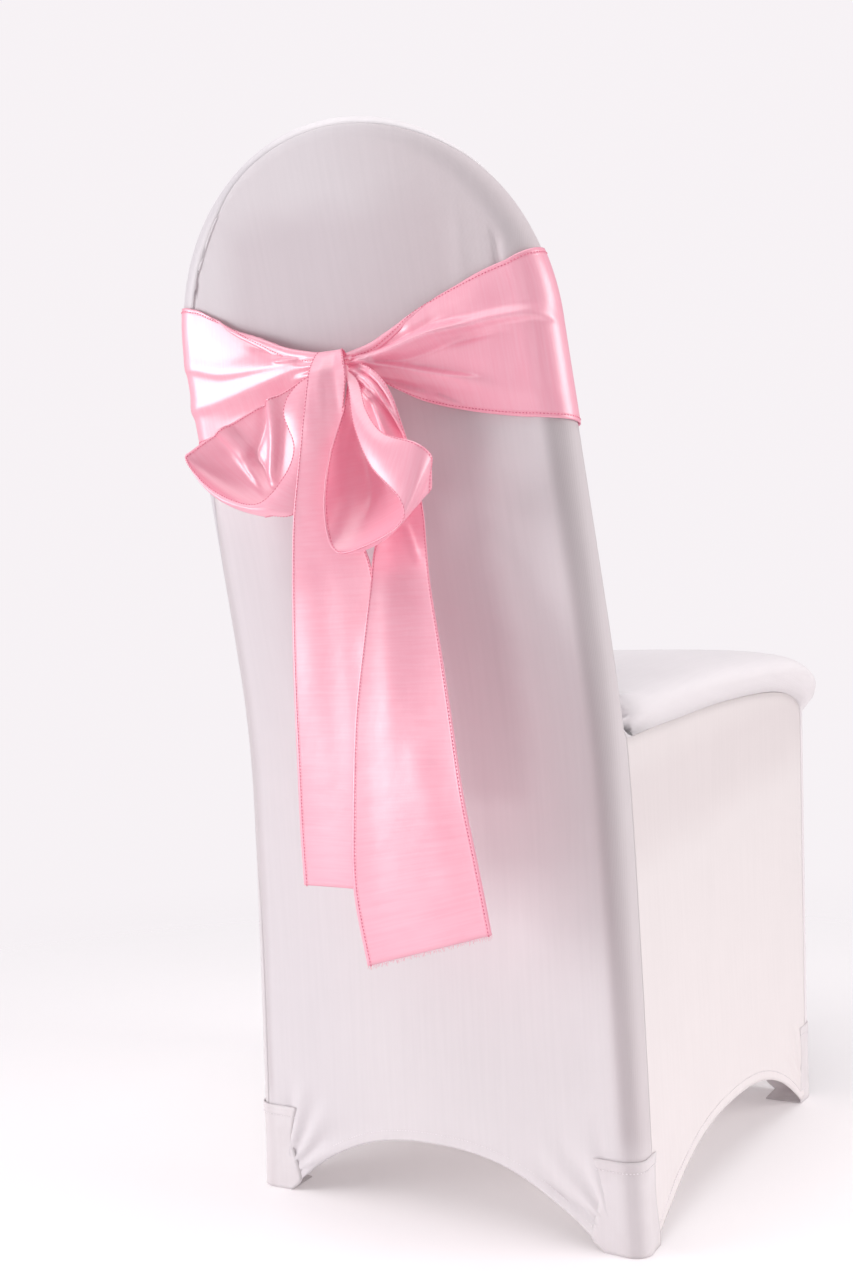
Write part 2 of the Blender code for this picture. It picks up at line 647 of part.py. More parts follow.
def sash(collection, cutters, material, origin):
    """The strip of satin: band, knot, two loops and two hanging ends, joined into one solid."""
    band = make_object("sash", sash_band(), collection, material, origin)
    thicken(band, SASH_CLOTH, 0.0)
    pieces = {
        "sash_knot": sash_knot(),
        "sash_front_end": sash_end(FRONT_END_SECTIONS, 0.0, folds=1.5),
        "sash_rear_end": sash_end(REAR_END_SECTIONS, END_SLANT, folds=1.0),
        "sash_left_loop": sash_loop(LEFT_LOOP_SECTIONS),
        "sash_right_loop": sash_loop(RIGHT_LOOP_SECTIONS),
    }
    for name, mesh in pieces.items():
        piece = make_object(name, mesh, cutters, None, origin)
        if name != "sash_knot":
            thicken(piece, SASH_CLOTH, 0.0)
        piece.hide_render = True
        piece.display_type = "WIRE"
        union = band.modifiers.new(name, "BOOLEAN")
        union.operation = "UNION"
        union.object = piece


def main():
    for obj in list(bpy.data.objects):
        bpy.data.objects.remove(obj, do_unlink=True)
    parts = bpy.data.collections.new("chair_cover_with_sash")
    cutters = bpy.data.collections.new("sash_pieces")
    for collection in (parts, cutters):
        bpy.context.scene.collection.children.link(collection)

    origin = bpy.data.objects.new("cover_top", None)
    origin.location = (0.0, -back_y(TOP_HEIGHT), -(TOP_HEIGHT - CLOTH))
    parts.objects.link(origin)

    knit = make_material("stretch_knit", (0.80, 0.78, 0.80), 0.75)
    satin = make_material("pink_satin", (0.86, 0.38, 0.50), 0.30)

    back_panel(parts, knit, origin)
    front_panel(parts, knit, origin)
    for name, side in (("left", 1), ("right", -1)):
        side_panel(f"side_panel_{name}", side, parts, knit, origin)
        for end in ("rear", "front"):
            foot_pocket(f"foot_pocket_{end}_{name}", end, side, parts, knit, origin)
    sash(parts, cutters, satin, origin)


main()
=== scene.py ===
"""A stretch knit chair cover with a pink satin sash tied in a bow behind its back.

The sections follow the object as it is put together: the cover's panels on the form of the
chair, its foot pockets, the sash round the back, the knot, loops and hanging ends, the hems and
stitches, and then the floor, the lights and the camera.
"""
import math

import bmesh
import bpy
from mathutils import Matrix, Vector


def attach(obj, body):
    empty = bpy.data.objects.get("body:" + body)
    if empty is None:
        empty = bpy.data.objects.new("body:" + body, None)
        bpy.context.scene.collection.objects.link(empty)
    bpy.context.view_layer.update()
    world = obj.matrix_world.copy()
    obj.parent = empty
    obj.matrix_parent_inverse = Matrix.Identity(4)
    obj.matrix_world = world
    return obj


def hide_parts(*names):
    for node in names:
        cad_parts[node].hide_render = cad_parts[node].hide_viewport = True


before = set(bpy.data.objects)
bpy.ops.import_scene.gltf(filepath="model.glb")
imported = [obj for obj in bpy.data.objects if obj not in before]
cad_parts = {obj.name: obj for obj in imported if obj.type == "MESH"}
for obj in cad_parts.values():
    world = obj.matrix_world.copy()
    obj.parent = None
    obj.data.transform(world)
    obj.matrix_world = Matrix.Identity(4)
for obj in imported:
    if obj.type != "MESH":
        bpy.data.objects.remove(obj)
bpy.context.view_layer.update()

# ---- The back panel ----
# One piece of polyester and elastane knit, stretched over the rounded back of a banquet chair.
# It runs from the hem between the rear feet up to a seam that follows the rim, a little way
# round its rear edge. Heights are above the floor, and the sitter faces -Y.
TOP_HEIGHT = 0.950
SPRING_HEIGHT = 0.771        # the rounded top of the back starts here
TOP_RISE = TOP_HEIGHT - SPRING_HEIGHT
SEAM_HEIGHT = 0.433          # the seat's side seam, where it meets the back
BACK_Y = 0.218               # middle of the back's thickness at the rear legs
RAKE = 0.248
RAKE_SOFTNESS = 0.060
REAR_FOOT_HALF = 0.197
SEAT_REAR_HALF = 0.191
SPRING_HALF = 0.183
BACK_RIM_RADIUS = 0.022
LEG_RIM_RADIUS = 0.015
SEAM_PLACES_PER_METRE = 100.0
# The stretched seam wanders along the rim. Place: degrees from the top, over the left side (+) or
# the right (-), running on down the sides. Angle on the rim: 90 its rear face, 0 its side.
SEAM_PLACES = (
    (-170.0, -50.0),
    (-150.0, -40.0),
    (-125.0, -25.0),
    (-90.0, -20.0),
    (-60.0, -20.0),
    (-55.0, 0.0),
    (-45.0, 15.0),
    (-38.0, 30.0),
    (-25.0, 45.0),
    (0.0, 60.0),
    (30.0, 70.0),
    (45.0, 85.0),
    (60.0, 90.0),
    (95.0, 85.0),
    (103.0, 65.0),
    (112.0, 35.0),
    (128.0, 35.0),
    (142.0, 70.0),
    (170.0, 75.0),
)
HEM_FOOT_HEIGHT = 0.004
REAR_HEM_HALF = 0.158
REAR_HEM_RISE = 0.068
HEM_POWER = 2.4
HEM_WIDTH = 0.009
HEM_SWELL = 0.0005
HEM_STEP = 0.001             # height over which the hem's doubled cloth ends
KNIT_THICKNESS = 0.0011
SEAM_ALLOWANCE = 0.005
SEAM_GROOVE = 0.0003
SEAM_STEPS = 12
FOLD_STEPS = 4
HALF_COLUMNS = 44
LOWER_ROWS = 44
UPPER_ROWS = 44
UPRIGHT_HEIGHT = 0.70        # up to here a seam allowance points level inwards, above it downwards
ORIGIN_DEPTH = 0.0015        # the frame's origin lies this far below the cover's top


def mix(a, b, t):
    return a + (b - a) * t


def smooth_step(low, high, value):
    t = min(max((value - low) / (high - low), 0.0), 1.0)
    return t * t * (3.0 - 2.0 * t)


def back_y(height):
    rise = height - SEAM_HEIGHT
    return BACK_Y + RAKE * 0.5 * (rise + math.hypot(rise, RAKE_SOFTNESS))


TO_FRAME = Vector((0.0, -back_y(TOP_HEIGHT), ORIGIN_DEPTH - TOP_HEIGHT))


def rim_radius(height):
    return mix(LEG_RIM_RADIUS, BACK_RIM_RADIUS, min(height / SEAM_HEIGHT, 1.0))


def back_half(height):
    if height <= SEAM_HEIGHT:
        return mix(REAR_FOOT_HALF, SEAT_REAR_HALF, height / SEAM_HEIGHT)
    if height <= SPRING_HEIGHT:
        return mix(SEAT_REAR_HALF, SPRING_HALF,
                   (height - SEAM_HEIGHT) / (SPRING_HEIGHT - SEAM_HEIGHT))
    rise = (height - SPRING_HEIGHT) / TOP_RISE
    return SPRING_HALF * math.sqrt(max(1.0 - rise * rise, 0.0))


def hem_arch(place, half, rise):
    """Height of a hem that is drawn down to the feet on both sides of its middle."""
    reach = min(abs(place) / half, 1.0)
    return HEM_FOOT_HEIGHT + (rise - HEM_FOOT_HEIGHT) * (1.0 - reach ** HEM_POWER)


def rear_hem(across):
    return hem_arch((REAR_FOOT_HALF - LEG_RIM_RADIUS) * across, REAR_HEM_HALF, REAR_HEM_RISE)


def hem_swell(above):
    """How far the doubled cloth of a hem stands out, at a distance above its edge."""
    return HEM_SWELL * (1.0 - smooth_step(HEM_WIDTH - HEM_STEP, HEM_WIDTH, above))


def rows_at(rows, place):
    """A table's other columns at a place in its first column, smoothly between its rows."""
    places, *columns = zip(*rows)
    place = min(max(place, places[0]), places[-1])
    k = max(i for i, start in enumerate(places[:-1]) if start <= place)
    run = places[k + 1] - places[k]
    t = (place - places[k]) / run
    values = []
    for column in columns:
        slopes = []
        for low, high in ((max(k - 1, 0), k + 1), (k, min(k + 2, len(rows) - 1))):
            slopes.append((column[high] - column[low]) / (places[high] - places[low]))
        a, b = column[k], column[k + 1]
        values.append(a * (1 + 2 * t) * (1 - t) ** 2 + b * t * t * (3 - 2 * t)
                      + slopes[0] * run * t * (1 - t) ** 2 - slopes[1] * run * t * t * (1 - t))
    return values


def seam_angle(x, height):
    """The seam's place on the rim's rounding, at a point of the back's outline."""
    rise = (height - SPRING_HEIGHT) / TOP_RISE
    if rise > 0.0:
        place = math.degrees(math.atan2(x / SPRING_HALF, rise))
    else:
        place = math.copysign(90.0 + SEAM_PLACES_PER_METRE * (SPRING_HEIGHT - height), x)
    return rows_at(SEAM_PLACES, place)[0]


COLUMN_ANGLES = [math.pi / 2 * k / HALF_COLUMNS for k in range(-HALF_COLUMNS, HALF_COLUMNS + 1)]
ACROSS = [math.sin(angle) for angle in COLUMN_ANGLES]


def rim_spots():
    """Centres of the rim's rounding, up one side, over the top and down the other."""
    sides = []
    for row in range(UPPER_ROWS):
        height = mix(SEAM_HEIGHT, SPRING_HEIGHT, row / UPPER_ROWS)
        sides.append((back_half(height) - BACK_RIM_RADIUS, height))
    top = []
    for angle in COLUMN_ANGLES:
        x = (SPRING_HALF - BACK_RIM_RADIUS) * math.sin(angle)
        height = SPRING_HEIGHT + (TOP_RISE - BACK_RIM_RADIUS) * math.cos(angle)
        outward = Vector((math.sin(angle) / SPRING_HALF, math.cos(angle) / TOP_RISE)).normalized()
        top.append((x, height, outward.x, outward.y))
    left = [(-x, height, -1.0, 0.0) for x, height in sides]
    right = [(x, height, 1.0, 0.0) for x, height in reversed(sides)]
    return left + top + right


def rim_point(spot, angle):
    x, height, out_x, out_z = spot
    turn = math.radians(angle)
    reach = BACK_RIM_RADIUS * math.cos(turn)
    z = height + out_z * reach
    return Vector((x + out_x * reach, back_y(z) + BACK_RIM_RADIUS * math.sin(turn), z))


def leg_point(side, height, angle):
    """A point round a rear leg: 90 is its rear face, and below 0 lies on the flat side."""
    radius, turn = rim_radius(height), math.radians(angle)
    x = back_half(height) - radius + radius * (math.cos(turn) if angle > 0.0 else 1.0)
    return Vector((side * x, back_y(height) + radius * math.sin(turn), height))


def add_grid(mesh, rows):
    verts = [[mesh.verts.new(point) for point in row] for row in rows]
    for lower, upper in zip(verts, verts[1:]):
        for k in range(len(lower) - 1):
            mesh.faces.new((lower[k], lower[k + 1], upper[k + 1], upper[k]))
    return verts


def add_strip(mesh, edge, points):
    verts = [mesh.verts.new(point) for point in points]
    for k in range(len(edge) - 1):
        mesh.faces.new((edge[k], edge[k + 1], verts[k + 1], verts[k]))
    return verts


def turn_seam_in(mesh, edge, inner, depth_direction):
    """Turn a panel's edge in along a seam, as a seam allowance is: a fine groove is left."""
    groove = []
    for vert, other in zip(edge, inner):
        vert.co += (other.co - vert.co).normalized() * SEAM_GROOVE
        groove.append(vert.co + depth_direction(vert.co).normalized() * SEAM_ALLOWANCE)
    add_strip(mesh, edge, groove)


def towards_rim_centre(point):
    """From a point of the rim towards the middle of the back's thickness."""
    inward = Vector((-point.x, 0.0, min(UPRIGHT_HEIGHT - point.z, 0.0))).normalized()
    sine = min(max((point.y - back_y(point.z)) / rim_radius(point.z), -1.0), 1.0)
    return inward * math.sqrt(1.0 - sine * sine) - Vector((0.0, sine, 0.0))


def round_the_rim(mesh, edge, start, leg_heights, steps):
    """Carry a panel's edge on round the rim, from an angle on it to the seam."""
    for step in range(1, steps + 1):
        share = step / steps
        down, up = ([leg_point(side, z, mix(start, seam_angle(side, z), share))
                     for z in leg_heights] for side in (1, -1))
        over = [rim_point(spot, mix(start, seam_angle(*spot[:2]), share))
                for spot in rim_spots()[1:-1]]
        inner, edge = edge, add_strip(mesh, edge, up + over + down[::-1])
    turn_seam_in(mesh, edge, inner, towards_rim_centre)


def add_object(name, data):
    obj = bpy.data.objects.new(name, data)
    bpy.context.scene.collection.objects.link(obj)
    return obj


def finish_mesh(name, mesh):
    """Move a mesh from the floor's coordinates to the frame's, and make its object."""
    bmesh.ops.translate(mesh, verts=mesh.verts, vec=TO_FRAME)
    data = bpy.data.meshes.new(name)
    mesh.to_mesh(data)
    mesh.free()
    data.shade_smooth()
    return add_object(name, data)


def add_wall(obj, thickness, offset):
    wall = obj.modifiers.new("cloth", "SOLIDIFY")
    wall.thickness = thickness
    wall.offset = offset


def finish_cloth(name, mesh, facing, thickness, flatten):
    """Make a sheet's object: faces out, planar UV in metres, its thickness inwards."""
    bmesh.ops.recalc_face_normals(mesh, faces=mesh.faces)
    turned = sum(face.normal.dot(Vector(facing)) * face.calc_area() for face in mesh.faces)
    if turned < 0.0:
        bmesh.ops.reverse_faces(mesh, faces=mesh.faces)
    layer = mesh.loops.layers.uv.new("cloth")
    for face in mesh.faces:
        for loop in face.loops:
            loop[layer].uv = flatten(loop.vert.co)
    obj = finish_mesh(name, mesh)
    add_wall(obj, thickness, -1.0)
    return obj


class Wire:
    """A node's socket. Python's operators and the methods below add nodes to it."""

    def __init__(self, tree, socket):
        self.tree, self.socket = tree, socket

    def node(self, kind, settings=None, **inputs):
        """Add a node: settings first, then values or wires for its named or numbered inputs."""
        made = self.tree.nodes.new(kind)
        for key, value in (settings or {}).items():
            setattr(made, key, value)
        for key, value in inputs.items():
            if key.startswith("in"):
                socket = made.inputs[int(key[2:])]
            else:
                socket = made.inputs[key.replace("_", " ")]
            if isinstance(value, Wire):
                self.tree.links.new(value.socket, socket)
            else:
                socket.default_value = value
        return made

    def out(self, kind, settings=None, output=0, **inputs):
        return Wire(self.tree, self.node(kind, settings, **inputs).outputs[output])

    def math(self, operation, other=0.0):
        return self.out("ShaderNodeMath", {"operation": operation}, in0=self, in1=other)

    def __add__(self, other):
        return self.math("ADD", other)

    __radd__ = __add__

    def __mul__(self, other):
        return self.math("MULTIPLY", other)

    __rmul__ = __mul__

    def __sub__(self, other):
        return self.math("SUBTRACT", other)

    def __rsub__(self, other):
        return (self * -1.0) + other

    def __truediv__(self, other):
        return self.math("DIVIDE", other)

    def __pow__(self, other):
        return self.math("POWER", other)

    def step(self, low, high):
        """0 below low and 1 above high, smooth between them."""
        return self.out("ShaderNodeMapRange", {"interpolation_type": "SMOOTHSTEP"},
                        Value=self, From_Min=low, From_Max=high)

    def parts(self):
        """A vector's x, y and z."""
        split = self.node("ShaderNodeSeparateXYZ", in0=self)
        return [Wire(self.tree, socket) for socket in split.outputs]

    def stretched(self, *factors):
        return self.out("ShaderNodeVectorMath", {"operation": "MULTIPLY"}, in0=self, in1=factors)

    def noise(self, scale, detail):
        return self.out("ShaderNodeTexNoise", Vector=self, Scale=scale, Detail=detail)

    def blend(self, colour_a, colour_b):
        """colour_a where this is 0, and colour_b where it is 1."""
        made = self.tree.nodes.new("ShaderNodeMix")
        made.data_type = "RGBA"
        colours = [socket for socket in made.inputs if socket.type == "RGBA"]
        for socket, colour in zip((made.inputs[0], *colours), (self, colour_a, colour_b)):
            if isinstance(colour, Wire):
                self.tree.links.new(colour.socket, socket)
            else:
                socket.default_value = (*colour, 1.0)
        return Wire(self.tree, next(s for s in made.outputs if s.type == "RGBA"))


def new_cloth_material(name, constants):
    """A material, its shader with constants set, and its coordinates as wires."""
    material = bpy.data.materials.new(name)
    material.use_nodes = True
    tree = material.node_tree
    shader = tree.nodes["Principled BSDF"]
    for key, value in constants.items():
        shader.inputs[key].default_value = value
    coordinates = tree.nodes.new("ShaderNodeTexCoord")
    place = Wire(tree, coordinates.outputs["Object"])
    flat = Wire(tree, coordinates.outputs["UV"])
    return material, shader, place, flat


def feed(shader, **wires):
    for key, wire in wires.items():
        wire.tree.links.new(wire.socket, shader.inputs[key.replace("_", " ")])


WALE_PITCH = 0.0011
COURSE_PITCH = 0.0009


def stretch_knit(name, shades):
    """Warp knit with fine wales. shades gives the cloth's colour and its painted shade from its
    place.
    """
    material, shader, place, flat = new_cloth_material(name, {
        "Roughness": 0.62, "Sheen Weight": 0.25, "Sheen Roughness": 0.5,
        "Specular IOR Level": 0.35})
    across, along, _ = flat.parts()
    wales = (across * (2 * math.pi / WALE_PITCH)).math("SINE")
    courses = (along * (2 * math.pi / COURSE_PITCH)).math("SINE")
    streaks = flat.stretched(260.0, 9.0, 1.0).noise(1.0, 3.0)
    broad = flat.noise(14.0, 2.0)
    colour = shades(place)
    darker = flat.out("ShaderNodeHueSaturation", Value=0.965, Color=colour)
    weave = ((streaks - 0.5) * 0.9 + 0.5 + (broad - 0.5) * 0.6).step(0.15, 0.85)
    colour = weave.blend(darker, colour)
    height = wales * 0.4 + courses * 0.3 + (streaks - 0.5) * 0.9
    bump = flat.out("ShaderNodeBump", Strength=0.30, Distance=0.0002, Height=height)
    feed(shader, Base_Color=colour, Normal=bump)
    return material


KNIT_WHITE = (0.785, 0.742, 0.762)
WIDENING = 0.020             # growth of the back's half width, per metre down from its rounded top


def rim_inset(x, z):
    """How far inside the back's outline a place on the cloth lies, as a wire."""
    above = z - (SPRING_HEIGHT + TO_FRAME.z)
    half = (0.0 - above).math("MAXIMUM", 0.0) * WIDENING + SPRING_HALF
    rise = above.math("MAXIMUM", 0.0) / TOP_RISE
    reach = ((x / half) ** 2.0 + rise ** 2.0) ** 0.5
    return (1.0 - reach) * SPRING_HALF


def shade_over(colour, *layers):
    """Lay shades over a colour. A layer is where it lies, how strongly, and its colour."""
    for where, strength, shade in layers:
        colour = (where * strength).blend(colour, shade)
    return colour


def back_shades(place):
    """White knit with painted shade where the chair's padded back and frame tubes lie behind it,
    and on the top, low down and at the sides.
    """
    x, _, z = place.parts()
    wander = place.noise(9.0, 3.0) - 0.5
    side = x.math("ABSOLUTE") + wander * 0.04
    # Painted shade: the shadow of the chair's padded back, seen through the sheer knit.
    pad_shadow = (1.0 - side.step(0.092, 0.128)) * (1.0 - (z + wander * 0.05).step(-0.090, -0.045))
    pad_shadow = pad_shadow * (z + wander * 0.012).step(-0.580, -0.555)
    # Painted shade under the seat, at the upper right and at the lower left.
    under_seat_shade = 1.0 - z.step(-0.62, -0.40)
    upper_right_shade = (0.0 - x).step(-0.02, 0.12) * z.step(-0.30, -0.14)
    lower_left_shade = x.step(0.04, 0.14) * (1.0 - z.step(-0.34, -0.26))
    inset = rim_inset(x, z)
    below_dome = 1.0 - z.step(-0.22, -0.08)
    # Painted shade along the right edge, and darker over the rim's rounding where the frame tubes
    # lie behind.
    right_edge_shade = (1.0 - inset.step(0.008, 0.028)) * (0.0 - x).step(0.0, 0.1) * below_dome
    tube_shadow = inset.step(-0.006, 0.007) * (1.0 - inset.step(0.011, 0.022)) * below_dome
    above_pocket = z.step(-0.880, -0.840)
    # All of these are painted shade over the white: padded back, top of the back, under the seat,
    # upper right, lower left, right edge and frame tubes.
    return shade_over(
        KNIT_WHITE,
        (pad_shadow, 1.0, (0.650, 0.580, 0.608)),
        (z.step(-0.30, -0.12), 0.45, (0.60, 0.545, 0.572)),
        (under_seat_shade, 0.6, (0.70, 0.660, 0.672)),
        (upper_right_shade, 0.5, (0.56, 0.475, 0.492)),
        (lower_left_shade, 0.5, (0.66, 0.620, 0.648)),
        (right_edge_shade, 0.8, (0.67, 0.615, 0.630)),
        (tube_shadow * above_pocket, 0.8, (0.52, 0.465, 0.480)))


FAN_HEIGHT = 0.016           # where the creases of a foot's fan would meet
FAN_RISE = 0.0017
FAN_CREASES = 15.0
# Distances and angles over which the fan comes in and goes out again.
FAN_NEAR, FAN_FAR = (0.004, 0.022), (0.035, 0.115)
FAN_LOW, FAN_STEEP = (0.12, 0.45), (1.35, 1.62)
REAR_FAN_HALF = REAR_FOOT_HALF - 0.028


def foot_creases(x, z, foot_x):
    """Fine tension creases that fan out of a foot pocket, as a small offset of the cloth."""
    away_x, away_z = abs(x) - foot_x, z - FAN_HEIGHT
    if away_x > 0.0:
        return 0.0
    distance = math.hypot(away_x, away_z)
    angle = math.atan2(away_z, -away_x)
    ring = smooth_step(*FAN_NEAR, distance) * (1.0 - smooth_step(*FAN_FAR, distance))
    fan = smooth_step(*FAN_LOW, angle) * (1.0 - smooth_step(*FAN_STEEP, angle))
    return FAN_RISE * ring * fan * math.cos(angle * FAN_CREASES + 0.6 * math.sin(x * 90.0))


def curve_through(values, t):
    """Catmull-Rom value or point at t, counted in steps from the first of the values."""
    last = len(values) - 1
    k = min(int(t), last - 1)
    before = values[k - 1] if k > 0 else 2 * values[0] - values[1]
    after = values[k + 2] if k + 2 <= last else 2 * values[last] - values[last - 1]
    a, b, t = values[k], values[k + 1], t - k
    return 0.5 * (2 * a + (b - before) * t + (2 * before - 5 * a + 4 * b - after) * t * t
                  + (3 * a - 3 * b + after - before) * t ** 3)


FOLD_REACH = 3.0             # a fold is felt up to this many of its spreads away
FOLD_FADES = ((0.0, 0.14), (0.66, 1.0))     # shares of its length where it rises and sinks again


def fold_line(above, below, rise, *places):
    """A fold: its spread above and below a smooth line of places, and its greatest rise."""
    steps = FOLD_STEPS * (len(places) - 1)
    places = [Vector(place) for place in places]
    line = [curve_through(places, k / FOLD_STEPS) for k in range(steps + 1)]
    reach = FOLD_REACH * max(above, below)
    low = [min(point[k] for point in line) - reach for k in range(2)]
    high = [max(point[k] for point in line) + reach for k in range(2)]
    return above, below, rise, line, low, high


def fold_lift(x, z, folds):
    """Sum of the folds' rises at a place. Each fades off to its sides and at its two ends."""
    total = 0.0
    for above, below, rise, line, low, high in folds:
        if not (low[0] < x < high[0] and low[1] < z < high[1]):
            continue
        nearest = FOLD_REACH * max(above, below)
        spread = 0.0
        for k, (start, end) in enumerate(zip(line, line[1:])):
            run_x, run_z = end[0] - start[0], end[1] - start[1]
            along = (x - start[0]) * run_x + (z - start[1]) * run_z
            along = min(max(along / (run_x * run_x + run_z * run_z), 0.0), 1.0)
            gap_x, gap_z = x - start[0] - along * run_x, z - start[1] - along * run_z
            gap = math.hypot(gap_x, gap_z)
            if gap < nearest:
                nearest = gap
                lean = math.copysign(1.0, run_x) * (gap_z * run_x - gap_x * run_z)
                spread = above if lean > 0.0 else below
                place = (k + along) / (len(line) - 1)
        if spread:
            begun, over = (smooth_step(*fade, place) for fade in FOLD_FADES)
            total += rise * begun * (1.0 - over) * math.exp(-(nearest / spread) ** 2)
    return total


def upper_row(t, lowest):
    """Places across the upper back. t is 0 at their lowest heights and 1 beside the rim."""
    half = mix(SEAT_REAR_HALF, SPRING_HALF, t) - BACK_RIM_RADIUS
    for angle, across in zip(COLUMN_ANGLES, ACROSS):
        top_z = SPRING_HEIGHT + (TOP_RISE - BACK_RIM_RADIUS) * math.cos(angle)
        yield across, half * across, mix(lowest(across), top_z, t)


# Pinched cloth above the sash at the right.
RIM_PINCHES = (
    fold_line(0.0030, 0.0030, -0.0024, (-0.146, 0.795), (-0.150, 0.858)),
    fold_line(0.0034, 0.0034, 0.0010, (-0.152, 0.795), (-0.160, 0.854)),
    fold_line(0.0030, 0.0030, -0.0016, (-0.158, 0.793), (-0.167, 0.842)),
    fold_line(0.0060, 0.0060, 0.0009, (-0.110, 0.770), (-0.120, 0.870)),
)

mesh = bmesh.new()
rows = []
for row in range(LOWER_ROWS + 1):
    points = []
    for across in ACROSS:
        hem = rear_hem(across)
        t = row / LOWER_ROWS
        z = mix(hem, SEAM_HEIGHT, t * (0.25 + 0.75 * t))
        x = (back_half(z) - rim_radius(z)) * across
        offset = hem_swell(z - hem) + foot_creases(x, z, REAR_FAN_HALF)
        points.append(Vector((x, back_y(z) + rim_radius(z) + offset, z)))
    rows.append(points)
for row in range(1, UPPER_ROWS + 1):
    points = []
    for across, x, z in upper_row(row / UPPER_ROWS, lambda across: SEAM_HEIGHT):
        pinch = fold_lift(x, z, RIM_PINCHES) * (1.0 - abs(across) ** 40.0)
        points.append(Vector((x, back_y(z) + BACK_RIM_RADIUS + pinch, z)))
    rows.append(points)
grid = add_grid(mesh, rows)
edge = [row[0] for row in grid] + grid[-1][1:-1] + [row[-1] for row in reversed(grid)]
leg_heights = [row[0].z for row in rows[:LOWER_ROWS + 1]]
round_the_rim(mesh, edge, 90.0, leg_heights, SEAM_STEPS)
back_cloth = finish_cloth("back_cloth", mesh, (0.0, 1.0, 0.0), KNIT_THICKNESS,
                          lambda co: (co.x, co.z * 1.02))
back_cloth.data.materials.append(stretch_knit("stretch_knit_back", back_shades))
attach(back_cloth, "root")
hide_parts("back_panel")

# ---- The front panel ----
# The longest piece of the cover: from the rim seam it turns over the rim, comes down the inside
# back, crosses the seat cushion and falls in front of it to the front hem.
FRONT_HALF = 0.212
FRONT_TOP_Y = -0.2385        # the front corner seam, at the top of the skirt
FRONT_FOOT_Y = -0.205
SKIRT_TOP_HEIGHT = 0.420
SKIRT_CORNER_DEPTH = 0.018
FRONT_SQUARENESS = 7.0
FRONT_HEM_HALF = 0.201
FRONT_HEM_RISE = 0.068
FRONT_FAN_HALF = FRONT_HALF - 0.020
CREASE_HEIGHT = 0.474        # the fold between the inside back and the seat
SEAT_CROWN = 0.12
# seam_y, seam_height, seam_half, centre_y, centre_height, side_bulge
SEAT_SECTIONS = (
    (0.160, 0.437, 0.194, 0.160, 0.476, 0.002),
    (0.100, 0.441, 0.197, 0.100, 0.482, 0.004),
    (0.030, 0.446, 0.201, 0.030, 0.488, 0.006),
    (-0.050, 0.449, 0.206, -0.050, 0.493, 0.008),
    (-0.120, 0.449, 0.209, -0.125, 0.495, 0.010),
    (-0.170, 0.446, 0.211, -0.190, 0.495, 0.012),
    (-0.205, 0.440, 0.212, -0.240, 0.490, 0.015),
    (-0.226, 0.433, 0.212, -0.268, 0.474, 0.017),
    (-0.235, 0.427, 0.212, -0.275, 0.450, 0.012),
)
SEAT_STEPS = 6
FRONT_RIM_STEPS = SEAM_STEPS + 2
SEAT_PLACES = [step / SEAT_STEPS for step in range((len(SEAT_SECTIONS) - 1) * SEAT_STEPS + 1)]


def rounding(across):
    return max(1.0 - abs(across) ** FRONT_SQUARENESS, 0.0) ** (1.0 / FRONT_SQUARENESS)


def crease_height(across):
    return mix(SEAM_HEIGHT, CREASE_HEIGHT, rounding(across))


def front_hem(across):
    return hem_arch(FRONT_HALF * across, FRONT_HEM_HALF, FRONT_HEM_RISE)


def front_skirt_point(across, height):
    seam_y = mix(FRONT_FOOT_Y, FRONT_TOP_Y, height / SKIRT_TOP_HEIGHT)
    return Vector((FRONT_HALF * across, seam_y - SKIRT_CORNER_DEPTH * rounding(across), height))


def section_at(sections, place):
    """All columns of a table at a place, counted in rows, by smooth curves through them."""
    return [curve_through(column, place) for column in zip(*sections)]


mesh = bmesh.new()
rows = []
for row in range(UPPER_ROWS, 0, -1):
    rows.append([Vector((x, back_y(z) - BACK_RIM_RADIUS, z))
                 for _, x, z in upper_row(row / UPPER_ROWS, crease_height)])
crease = [(SEAT_REAR_HALF * across, crease_height(across)) for across in ACROSS]
rows.append([Vector((x, back_y(z) - BACK_RIM_RADIUS, z)) for x, z in crease])
for place in SEAT_PLACES:
    seam_y, seam_z, half, centre_y, centre_z, bulge = section_at(SEAT_SECTIONS, place)
    points = []
    for across in ACROSS:
        lift = rounding(across)
        x = half * across + math.copysign(4 * bulge * lift * (1.0 - lift), across)
        crown = lift * (1.0 - SEAT_CROWN * across * across)
        points.append(Vector((x, mix(seam_y, centre_y, crown), mix(seam_z, centre_z, crown))))
    rows.append(points)
for row in range(LOWER_ROWS + 1):
    points = []
    t = row / LOWER_ROWS
    for across in ACROSS:
        z = mix(SKIRT_TOP_HEIGHT, front_hem(across), t * (1.75 - 0.75 * t))
        point = front_skirt_point(across, z)
        point.y -= hem_swell(z - front_hem(across))
        point.y -= foot_creases(point.x, z, FRONT_FAN_HALF)
        points.append(point)
    rows.append(points)
grid = add_grid(mesh, rows)
upper = grid[:UPPER_ROWS + 1]
edge = [row[0] for row in reversed(upper)] + grid[0][1:-1] + [row[-1] for row in upper]
round_the_rim(mesh, edge, -90.0, [SEAM_HEIGHT], FRONT_RIM_STEPS)
lower = grid[UPPER_ROWS:]
for column, beside in ((0, 1), (-1, -2)):
    turn_seam_in(mesh, [row[column] for row in lower], [row[beside] for row in lower],
                 lambda point: Vector((-point.x, 0.0, 0.0)))


def front_flat(point):
    """Planar UV: height on the upright stretches, depth on the seat."""
    on_seat = smooth_step(0.40, 0.47, point.z) * (1.0 - smooth_step(0.49, 0.53, point.z))
    return point.x, mix(point.z, point.y, on_seat)


